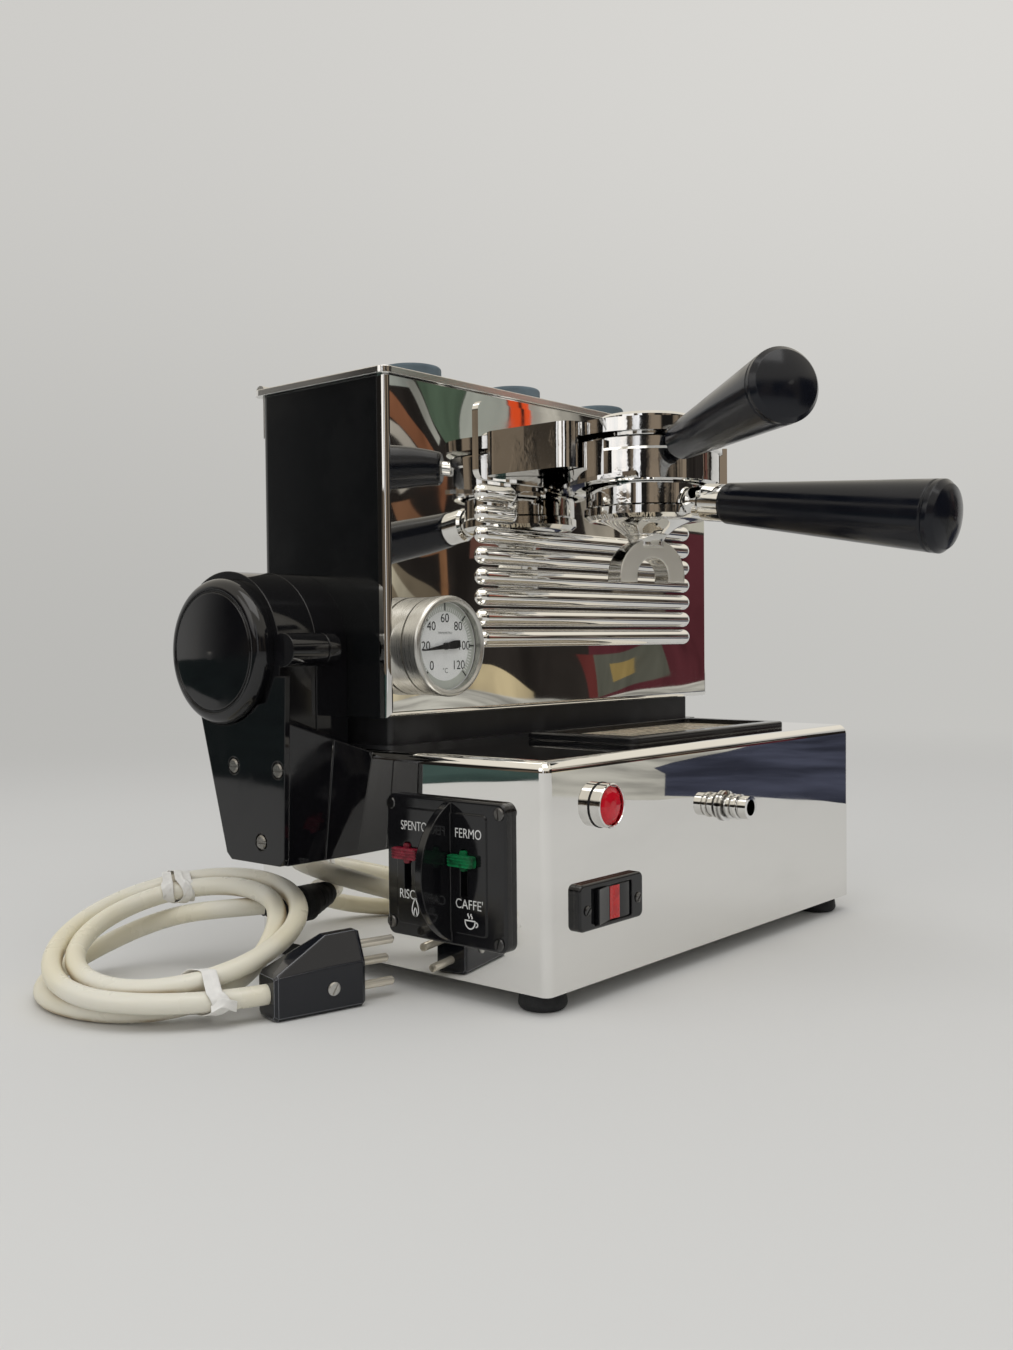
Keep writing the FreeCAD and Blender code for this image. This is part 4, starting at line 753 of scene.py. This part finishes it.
def dial_bars(centre, values, span, half):
    """Radial bars at some values of the scale, over a span of radius and of a half width."""
    ray = dial_ray(values)
    side = np.stack((-ray[:, 2], ray[:, 1], ray[:, 0]), -1)
    inner, outer = span
    corners = (
        inner * ray + half * side, inner * ray - half * side,
        outer * ray - half * side, outer * ray + half * side,
    )
    points = centre + np.stack(corners, 1).reshape(-1, 3) - (0, BAR_LIFT + half / 10, 0)
    return points, np.arange(len(points)).reshape(-1, 4)


def needle_blade(centre):
    """Pointer: a lozenge whose half width falls off by a power from the hub to the tip, and by a sine swells
    and closes from the hub to the tail."""
    along = np.linspace(-NEEDLE_TAIL, NEEDLE_TIP, 41)[:, None]
    tail = NEEDLE_HALF + 0.75 * np.sin(np.clip(-along / NEEDLE_TAIL, 0, 1) * 2.6)
    half = np.where(along > 0, NEEDLE_HALF * (1 - along / NEEDLE_TIP) ** 0.8, tail)
    across = np.linspace(-1, 1, 5)[None, :] * half
    turn = math.radians(NEEDLE_TURN)
    x = along * math.cos(turn) - across * math.sin(turn)
    z = along * math.sin(turn) + across * math.cos(turn)
    return centre + np.stack((x, np.full_like(x, -NEEDLE_LIFT), z), -1) / 1000


def needle_hub(centre):
    """Low dome on the dial: a straight side and a rounded top carried round the needle's axis."""
    radius, rise = np.array(HUB_PROFILE).T[..., None]
    angle = round_angles(32)[None, :]
    grid = np.broadcast_arrays(radius * np.cos(angle), -rise, radius * np.sin(angle))
    return centre + np.stack(grid, -1) / 1000


# Trim and the pilot lamp's ring of painted shade, in bench millimetres


BAND_SIDES = (40.9, 48.3)
BAND_ENDS = (36.6, 51.4)
BAND_BULGE = (44.6, 3.7)  # middle and reach
ROCKER_CREST = (43.1, 2.7)  # place across and rise
ROCKER_SLOPES = (-0.19, 0.09)
# dark ring of painted shade where the pilot lamp's bezel meets the base
SHADE_RING_OUT = -0.25
SHADE_RING_SIZE = (10.0, 0.33)  # radius of its middle line and of its section


def rocker_crown():
    """Band over the rocker: the slopes either side of its crest, plus half an ellipse across the band."""
    x = np.linspace(*BAND_SIDES, 17)[None, :]
    z = np.linspace(*BAND_ENDS, 20)[:, None]
    crest, height = ROCKER_CREST
    middle, reach = BAND_BULGE
    slope = np.where(x < crest, *ROCKER_SLOPES)
    bulge = 0.12 + 0.35 * np.sqrt(np.clip(1 - ((x - middle) / reach) ** 2, 0, 1))
    rise = (height + slope * (x - crest) + bulge) * np.ones_like(z)
    return on_bench(np.stack(np.broadcast_arrays(x, -rise, z), -1))


def washer(centre):
    """Dark ring of painted shade, of round section: a small circle carried round the bezel's axis."""
    turn = round_angles(96)[None, :]
    around = round_angles(12)[:, None]
    middle, section = SHADE_RING_SIZE
    radius = middle + section * np.cos(around)
    rise = section * np.sin(around) * np.ones_like(turn)
    return centre + np.stack((radius * np.cos(turn), rise, radius * np.sin(turn)), -1) / 1000


# Operators


class ESPRESSO_OT_finishes(bpy.types.Operator):
    """Gives every piece of the frame its finish"""

    bl_idname = "espresso.finishes"
    bl_label = "Finishes"

    def execute(self, context):
        made = finishes(context.scene.espresso_finishes)
        FINISH_NAMES.update({slot: material.name for slot, material in made.items()})
        special = special_finishes(context.scene.espresso_finishes)
        for part in frame["record"]["subparts"]:
            node = frame["nodes"][part["node"]]
            node.data.materials.clear()
            node.data.materials.append(special.get(part["node"]) or made[part["material_slot"]])
        return {"FINISHED"}


class ESPRESSO_OT_cord(bpy.types.Operator):
    """Lays the mains cord from the gland through its coil to the plug, with its ties"""

    bl_idname = "espresso.cord"
    bl_label = "Mains cord"

    def execute(self, context):
        settings = context.scene.espresso_cord
        cord = lay_cord(settings)
        far, near = TIE_STRANDS
        width = settings.tie_width
        ties = [
            tie_band("tie_far_left", far, 0.75 * width, -4.2, 0.6),
            tie_band("tie_far_right", far, 0.75 * width, 4.6, -0.6),
            tie_band("tie_far_cross", far, 0.65 * width, 0.2, -4.4, 0.6),
            tie_band("tie_near", near, width, 0.0, -5.5),
            tie_tail("tie_near_end", near, width, -9.0, 11.0),
        ]
        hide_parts("cord_ties")
        return {"FINISHED"}


class ESPRESSO_OT_plate_words(bpy.types.Operator):
    """Prints the plain words and signs of the two sliders on the switch plate"""

    bl_idname = "espresso.plate_words"
    bl_label = "Switch words"

    def execute(self, context):
        height = context.scene.espresso_print.word_height
        white = plastic("white_print", (0.74, 0.74, 0.72), (0.45, 0.6))
        for name, text, y, z, width in PLATE_WORDS:
            place = on_bench((PLATE_FACE, y, z))
            mesh = words_mesh(name, text, height, (0, -1, 0), (0, 0, 1), place, width / 1000)
            put_piece(name, mesh, "machine", "tape", white)
        for name, strokes, y, z in PLATE_MARKS:
            points, faces = mark_bands(strokes(), y, z)
            put_mesh(name, points, faces, "machine", "tape", False, white)
        return {"FINISHED"}


class ESPRESSO_OT_dial_print(bpy.types.Operator):
    """Prints the thermometer's dial and lays its needle"""

    bl_idname = "espresso.dial_print"
    bl_label = "Dial print"

    def execute(self, context):
        settings = context.scene.espresso_print
        ink = satin_black("dial_ink", (0.012, 0.012, 0.012))
        faint = satin_black("faint_ink", (0.16, 0.165, 0.16))
        white = plastic("dash_paint", (0.88, 0.89, 0.86), (0.4, 0.55), 0.95)
        low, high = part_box("gauge_dial")
        centre = np.array(((low.x + high.x) / 2, low.y - PRINT_LIFT, (low.z + high.z) / 2))
        for value in range(0, SCALE_END + 1, NUMBER_STEP):
            middle = centre + NUMBER_RADIUS * dial_ray(value)
            name = f"number_{value}"
            mesh = words_mesh(name, str(value), settings.number_height, (1, 0, 0), (0, 0, 1), middle)
            put_piece(name, mesh, "machine", "needle", ink)
        for name, text, rise, height, width in DIAL_WORDS:
            mesh = words_mesh(name, text, height, (1, 0, 0), (0, 0, 1), centre + rise * UP, width)
            put_piece(name, mesh, "machine", "needle", faint)
        rim = settings.tick_radius
        grey = plastic("scale_ring", (0.56, 0.59, 0.53), (0.35, 0.5), 0.96)
        ring = scale_ring(centre, rim + RING_SPAN[0], rim + RING_SPAN[1])
        put_mesh("dial_ring", ring, grid_faces(3, 96, True)[:, ::-1], "machine", "dial", False, grey)
        for name, step, span, half, paint in (
            ("dial_ticks", NUMBER_STEP, TICK_SPAN, TICK_HALF, ink),
            ("dial_dashes", DASH_STEP, DASH_SPAN, DASH_HALF, white),
        ):
            values = np.arange(0, SCALE_END + 1, step)
            points, faces = dial_bars(centre, values, (rim + span[0], rim + span[1]), half)
            put_mesh(name, points, faces, "machine", "needle", False, paint)
        blade = needle_blade(centre)
        needle = put_mesh("needle_blade", blade, grid_faces(41, 5), "gauge_needle", "needle", False)
        wall = needle.modifiers.new("thickness", "SOLIDIFY")
        wall.thickness = NEEDLE_WALL
        put_mesh("needle_hub", needle_hub(centre), grid_faces(7, 32, True), "gauge_needle", "needle")
        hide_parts("gauge_needle")
        return {"FINISHED"}


class ESPRESSO_OT_rocker_band(bpy.types.Operator):
    """Lays the red band over the rocker"""

    bl_idname = "espresso.rocker_band"
    bl_label = "Rocker band"

    def execute(self, context):
        red = plastic("red_band", (0.55, 0.02, 0.02), (0.2, 0.35))
        put_mesh("rocker_band", rocker_crown(), grid_faces(20, 17), "switch_rocker", "red_plastic", True, red)
        return {"FINISHED"}


class ESPRESSO_OT_pilot_ring(bpy.types.Operator):
    """Lays a dark ring of painted shade where the pilot lamp's bezel meets the base"""

    bl_idname = "espresso.pilot_ring"
    bl_label = "Pilot ring"

    def execute(self, context):
        low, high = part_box("pilot_bezel")
        out = on_bench((0, SHADE_RING_OUT, 0))[1]
        centre = np.array(((low.x + high.x) / 2, out, (low.z + high.z) / 2))
        faces = grid_faces(12, 96, True, True)[:, ::-1]
        # painted shade: a black ring put where the bezel's contact shadow falls
        put_mesh("pilot_ring", washer(centre), faces, "machine", "rubber")
        return {"FINISHED"}


# Studio: places are in bench millimetres


CAMERA_PLACE = (-425.3, -338.9, 161.7)
CAMERA_TURN = (49.73, -1.56, -0.52)  # degrees of yaw, pitch and roll
VIEW_AHEAD = (0.64, 0.76, 0.0)
VIEW_RIGHT = (0.646, -0.763, 0.0)
FLOOR_REACH = 5000
FLOOR_FADE = (0.65, 1.8)  # metres from the machine
DARK_ROOM = (0.012, 0.011, 0.010)
PLAIN_LIGHT = (0.62, 0.62, 0.62)
KEY_LAMP = ((-250, -350, 1650), (120, 80, 100), (1.5, 1.1))  # place, aim and size in metres
FILL_LAMP = ((-1500, 300, 900), (100, 80, 120), (1.0, 1.0))


def stage_mesh(name, points, faces, material):
    """New mesh of the studio, which isn't part of the machine."""
    mesh = bpy.data.meshes.new(name)
    mesh.from_pydata(np.asarray(points, float).reshape(-1, 3).tolist(), [], [list(face) for face in faces])
    mesh.update()
    mesh.materials.append(material)
    piece = bpy.data.objects.new(name, mesh)
    bpy.context.scene.collection.objects.link(piece)
    return piece


def backdrop(tree, toward, settings):
    """Backdrop's colour by direction: paler overhead and to the right."""
    height = add(tree, "ShaderNodeSeparateXYZ", {0: toward}).outputs["Z"]
    colour = blend(tree, ramp(tree, height, -0.05, 0.45), tuple(settings.horizon), tuple(settings.zenith))
    level = ramp(tree, alike(tree, toward, VIEW_RIGHT), -0.4, 0.4, 0.94, 1.07)
    return add(tree, "ShaderNodeVectorMath", {0: colour, "Scale": level}, operation="SCALE").outputs[0]


def floor_finish(settings):
    """Pale floor that keeps the shadow and, for the camera, fades far out into the backdrop's colour."""
    material, tree, principled = shader("studio_floor", Roughness=0.85, Specular_IOR_Level=0.1)
    cloud = noise(tree, places(tree), 2.5, 3.0)
    pale = tuple(settings.floor)
    feed(tree, principled, blend(tree, cloud, pale, [0.975 * c for c in pale]))
    far = add(tree, "ShaderNodeVectorMath", {0: places(tree)}, operation="LENGTH").outputs["Value"]
    seen = add(tree, "ShaderNodeLightPath").outputs["Is Camera Ray"]
    share = maths(tree, "MULTIPLY", ramp(tree, far, *FLOOR_FADE), seen)
    ends = {0: places(tree), 1: on_bench(CAMERA_PLACE)}
    away = add(tree, "ShaderNodeVectorMath", ends, operation="SUBTRACT").outputs[0]
    toward = add(tree, "ShaderNodeVectorMath", {0: away}, operation="NORMALIZE").outputs[0]
    shown = backdrop(tree, toward, settings)
    glow = add(tree, "ShaderNodeEmission", {"Color": shown, "Strength": 1.0}).outputs[0]
    mixed = add(tree, "ShaderNodeMixShader", {0: share, 1: principled.outputs[0], 2: glow}).outputs[0]
    tree.links.new(mixed, tree.nodes["Material Output"].inputs["Surface"])
    return material


def room_finish():
    """Card that only shines: the colour stored on its faces, with a cloudy grain."""
    material = bpy.data.materials.new("room_card")
    material.use_nodes = True
    tree = material.node_tree
    tree.nodes.clear()
    colour = add(tree, "ShaderNodeAttribute", attribute_name="card_colour").outputs["Color"]
    grain = noise(tree, places(tree, (1, 1, 0.35)), 5.0, 4.0)
    strength = ramp(tree, grain, 0.30, 0.70, 0.55, 1.45)
    glow = add(tree, "ShaderNodeEmission", {"Color": colour, "Strength": strength}).outputs[0]
    tree.links.new(glow, add(tree, "ShaderNodeOutputMaterial").inputs["Surface"])
    return material


WALL_CARDS = (
    # upright shapes in front of the machine: depth, colour, and corners as place along and height
    (-1640, (0.020, 0.017, 0.015), ((400, -900), (3900, -900), (3900, 980), (400, 980))),
    (-1634, (0.25, 0.265, 0.24), ((1500, 700), (1690, 712), (1800, 735), (1750, 980), (1500, 980))),
    (-1633, (0.065, 0.095, 0.065), ((1790, 800), (1850, 690), (1930, 610), (1985, 620), (1990, 900))),
    (-1633, (0.27, 0.27, 0.24), ((1760, 745), (1800, 760), (1880, 640), (1860, 610))),
    (-1632, (0.19, 0.080, 0.042), ((1600, 725), (1690, 700), (1790, 625), (1870, 530), (1850, 490),
                                   (1770, 560), (1690, 640), (1600, 680))),
    (-1631, (0.38, 0.35, 0.30), ((1650, 655), (1700, 625), (1790, 530), (1770, 520), (1690, 600),
                                 (1650, 630))),
    (-1631, (0.20, 0.10, 0.055), ((1740, 500), (1790, 510), (1850, 400), (1800, 380))),
    (-1631, (0.55, 0.53, 0.49), ((1650, 520), (1720, 508), (1730, 470), (1690, 455), (1650, 470))),
    (-1632, (0.16, 0.13, 0.09), ((1600, 380), (1740, 365), (1870, 250), (1600, 240))),
    (-1631, (0.40, 0.36, 0.27), ((1690, 360), (1720, 362), (1800, 250), (1755, 250))),
    (-1631, (0.22, 0.11, 0.055), ((1835, 420), (1860, 430), (1880, 240), (1850, 240))),
    (-1636, (0.13, 0.060, 0.046), ((1985, 380), (2240, 400), (2420, 520), (2420, 660), (1985, 650))),
    (-1636, (0.30, 0.27, 0.22), ((2440, 420), (2560, 430), (2540, 700), (2460, 700))),
    (-1636, (0.11, 0.09, 0.07), ((2580, 250), (2900, 250), (2860, 700), (2600, 700))),
    (-1632, (0.42, 0.44, 0.39), ((1985, 640), (2098, 640), (2098, 980), (1995, 980))),
    (-1631, (0.90, 0.10, 0.025), ((2102, 660), (2140, 660), (2136, 980), (2098, 980))),
    (-1631, (0.90, 0.10, 0.025), ((2155, 660), (2190, 660), (2184, 980), (2152, 980))),
    (-1632, (0.42, 0.40, 0.35), ((2192, 680), (2480, 690), (2480, 980), (2190, 980))),
    (-1632, (0.50, 0.44, 0.31), ((1500, 100), (1690, 85), (1820, 60), (1820, -200), (1500, -200))),
    (-1631, (0.40, 0.33, 0.20), ((1780, 85), (1960, 100), (2090, 75), (2280, 14), (2280, -200),
                                 (1780, -200))),
    (-1632, (0.064, 0.017, 0.021), ((2420, 178), (2890, 200), (2930, 455), (3400, 455), (3400, -200),
                                    (2420, -200))),
    (-1630, (0.070, 0.070, 0.056), ((2440, 118), (2820, 122), (2890, 26), (2470, 6))),
    (-1628, (0.20, 0.145, 0.055), ((2550, 92), (2700, 90), (2735, 48), (2585, 40))),
    (-1630, (0.080, 0.020, 0.018), ((2375, 118), (2440, 118), (2470, 8), (2400, 8))),
    (-1631, (0.34, 0.33, 0.28), ((2920, 462), (3400, 470), (3400, 560), (2920, 530))),
)
FLOOR_CARDS = (
    # level shapes further out on the floor: height, colour and corners
    (0.5, (0.40, 0.39, 0.35), ((594, -461), (655, -377), (700, -360), (1500, -420), (5000, -900),
                               (5000, -3000), (600, -3000))),
    (1.0, (0.046, 0.050, 0.074), ((687, -389), (760, -180), (4200, -900), (4200, -1500), (1500, -680),
                                  (1250, -640), (1040, -605), (945, -575), (888, -519))),
    (0.5, (0.038, 0.062, 0.056), ((-570, 700), (-690, 540), (-5000, -1500), (-5000, 5000), (-1500, 5000))),
)
SIDE_CARD = (
    (0.80, 0.80, 0.82), ((-1500, -420, 60), (-1380, -700, 60), (-1380, -700, 1100), (-1500, -420, 1100))
)


def card_room(material):
    """Shapes of a dim room in front and a pale screen on the left, which only polished surfaces show."""
    cards = [SIDE_CARD]
    cards += [(colour, [(x, depth, z) for x, z in corners]) for depth, colour, corners in WALL_CARDS]
    cards += [(colour, [(x, y, height) for x, y in corners]) for height, colour, corners in FLOOR_CARDS]
    points, faces, colours = [], [], []
    for colour, corners in cards:
        faces.append(range(len(points), len(points) + len(corners)))
        points += corners
        colours.append((*colour, 1))
    room = stage_mesh("room_cards", on_bench(points), faces, material)
    tints = room.data.attributes.new("card_colour", "FLOAT_COLOR", "FACE")
    tints.data.foreach_set("color", np.array(colours, np.float32).ravel())
    show_only_in_mirrors(room)


def show_only_in_mirrors(piece):
    """Hides a piece of the studio from all but glossy rays."""
    piece.visible_camera = False
    piece.visible_diffuse = False
    piece.visible_shadow = False
    piece.visible_transmission = False
    piece.visible_volume_scatter = False


def lay_floor(material):
    """One wide square under the machine."""
    corners = FLOOR_REACH * np.array(((-1, -1, 0), (1, -1, 0), (1, 1, 0), (-1, 1, 0)))
    stage_mesh("floor", on_bench(corners), ((0, 1, 2, 3),), material)


def light_world(settings):
    """Backdrop for the camera, a plain level for diffuse light, and for mirrors a dim room under a pale
    ceiling."""
    world = bpy.data.worlds.new("studio")
    bpy.context.scene.world = world
    world.use_nodes = True
    tree = world.node_tree
    tree.nodes.clear()
    toward = add(tree, "ShaderNodeTexCoord").outputs["Generated"]
    height = add(tree, "ShaderNodeSeparateXYZ", {0: toward}).outputs["Z"]
    facing = alike(tree, toward, VIEW_AHEAD)
    spread = add(tree, "ShaderNodeMapping", {"Vector": toward, "Scale": (2.2, 2.2, 1.1)}).outputs[0]
    lit = ramp(tree, noise(tree, spread, 1.7, 3.0), 0.47, 0.62)
    room = blend(tree, lit, DARK_ROOM, tuple(settings.room))
    behind = blend(tree, ramp(tree, facing, 0.1, 0.4), room, tuple(settings.zenith))
    mirrored = blend(tree, ramp(tree, height, 0.27, 0.42), behind, tuple(settings.ceiling))
    path = add(tree, "ShaderNodeLightPath").outputs
    light = blend(tree, path["Is Glossy Ray"], PLAIN_LIGHT, mirrored)
    seen = maths(tree, "MAXIMUM", path["Is Camera Ray"], path["Is Transmission Ray"])
    colour = blend(tree, seen, light, backdrop(tree, toward, settings))
    shine = add(tree, "ShaderNodeBackground", {"Color": colour, "Strength": 1.0}).outputs[0]
    tree.links.new(shine, add(tree, "ShaderNodeOutputWorld").inputs["Surface"])


def hang_lamp(name, place, aim, size, power):
    """Soft rectangle of light at a place, turned to its aim."""
    lamp = bpy.data.lights.new(name, "AREA")
    lamp.shape = "RECTANGLE"
    lamp.size, lamp.size_y = size
    lamp.energy = power
    holder = bpy.data.objects.new(name, lamp)
    bpy.context.scene.collection.objects.link(holder)
    start, end = Vector(on_bench(place)), Vector(on_bench(aim))
    turn = (end - start).to_track_quat("-Z", "Y").to_matrix().to_4x4()
    holder.matrix_world = Matrix.Translation(start) @ turn


def set_camera(settings):
    """Camera at the photograph's place: turned 49.7 degrees from the front's normal, nearly level."""
    lens = bpy.data.cameras.new("camera")
    lens.lens = settings.lens
    lens.sensor_width = 36
    lens.clip_start = 0.01
    yaw, pitch, roll = (math.radians(angle) for angle in CAMERA_TURN)
    ahead = Vector((math.sin(yaw) * math.cos(pitch), math.cos(yaw) * math.cos(pitch), math.sin(pitch)))
    level = Vector((math.cos(yaw), -math.sin(yaw), 0))
    upright = level.cross(ahead)
    right = level * math.cos(roll) + upright * math.sin(roll)
    top = upright * math.cos(roll) - level * math.sin(roll)
    camera = bpy.data.objects.new("camera", lens)
    bpy.context.scene.collection.objects.link(camera)
    turn = Matrix((right, top, -ahead)).transposed().to_4x4()
    camera.matrix_world = Matrix.Translation(Vector(on_bench(CAMERA_PLACE))) @ turn
    bpy.context.scene.camera = camera


class ESPRESSO_OT_stage(bpy.types.Operator):
    """Sets the floor, backdrop, cards, lamps and camera"""

    bl_idname = "espresso.stage"
    bl_label = "Studio"

    def execute(self, context):
        settings = context.scene.espresso_studio
        context.scene.view_settings.view_transform = "Standard"
        lay_floor(floor_finish(settings))
        card_room(room_finish())
        light_world(settings)
        hang_lamp("key_lamp", *KEY_LAMP, settings.key_power)
        hang_lamp("fill_lamp", *FILL_LAMP, settings.fill_power)
        set_camera(settings)
        return {"FINISHED"}


class ESPRESSO_PT_looks(bpy.types.Panel):
    """Lists the steps that dress the machine"""

    bl_idname = "ESPRESSO_PT_looks"
    bl_label = "Espresso Machine"
    bl_space_type = "VIEW_3D"
    bl_region_type = "UI"
    bl_category = "Espresso"

    def draw(self, context):
        for step in STEPS:
            self.layout.operator(step.bl_idname)


SETTINGS = {
    "espresso_finishes": FinishSettings,
    "espresso_cord": CordSettings,
    "espresso_print": PrintSettings,
    "espresso_studio": StudioSettings,
}
STEPS = (
    ESPRESSO_OT_finishes,
    ESPRESSO_OT_cord,
    ESPRESSO_OT_plate_words,
    ESPRESSO_OT_dial_print,
    ESPRESSO_OT_rocker_band,
    ESPRESSO_OT_pilot_ring,
    ESPRESSO_OT_stage,
)


def register():
    for name, group in SETTINGS.items():
        bpy.utils.register_class(group)
        setattr(bpy.types.Scene, name, bpy.props.PointerProperty(type=group))
    for step in STEPS:
        bpy.utils.register_class(step)
    bpy.utils.register_class(ESPRESSO_PT_looks)


def unregister():
    bpy.utils.unregister_class(ESPRESSO_PT_looks)
    for step in reversed(STEPS):
        bpy.utils.unregister_class(step)
    for name, group in SETTINGS.items():
        delattr(bpy.types.Scene, name)
        bpy.utils.unregister_class(group)


def main():
    register()
    bpy.ops.espresso.finishes()
    bpy.ops.espresso.cord()
    bpy.ops.espresso.plate_words()
    bpy.ops.espresso.dial_print()
    bpy.ops.espresso.rocker_band()
    bpy.ops.espresso.pilot_ring()
    bpy.ops.espresso.stage()


if __name__ == "__main__":
    main()
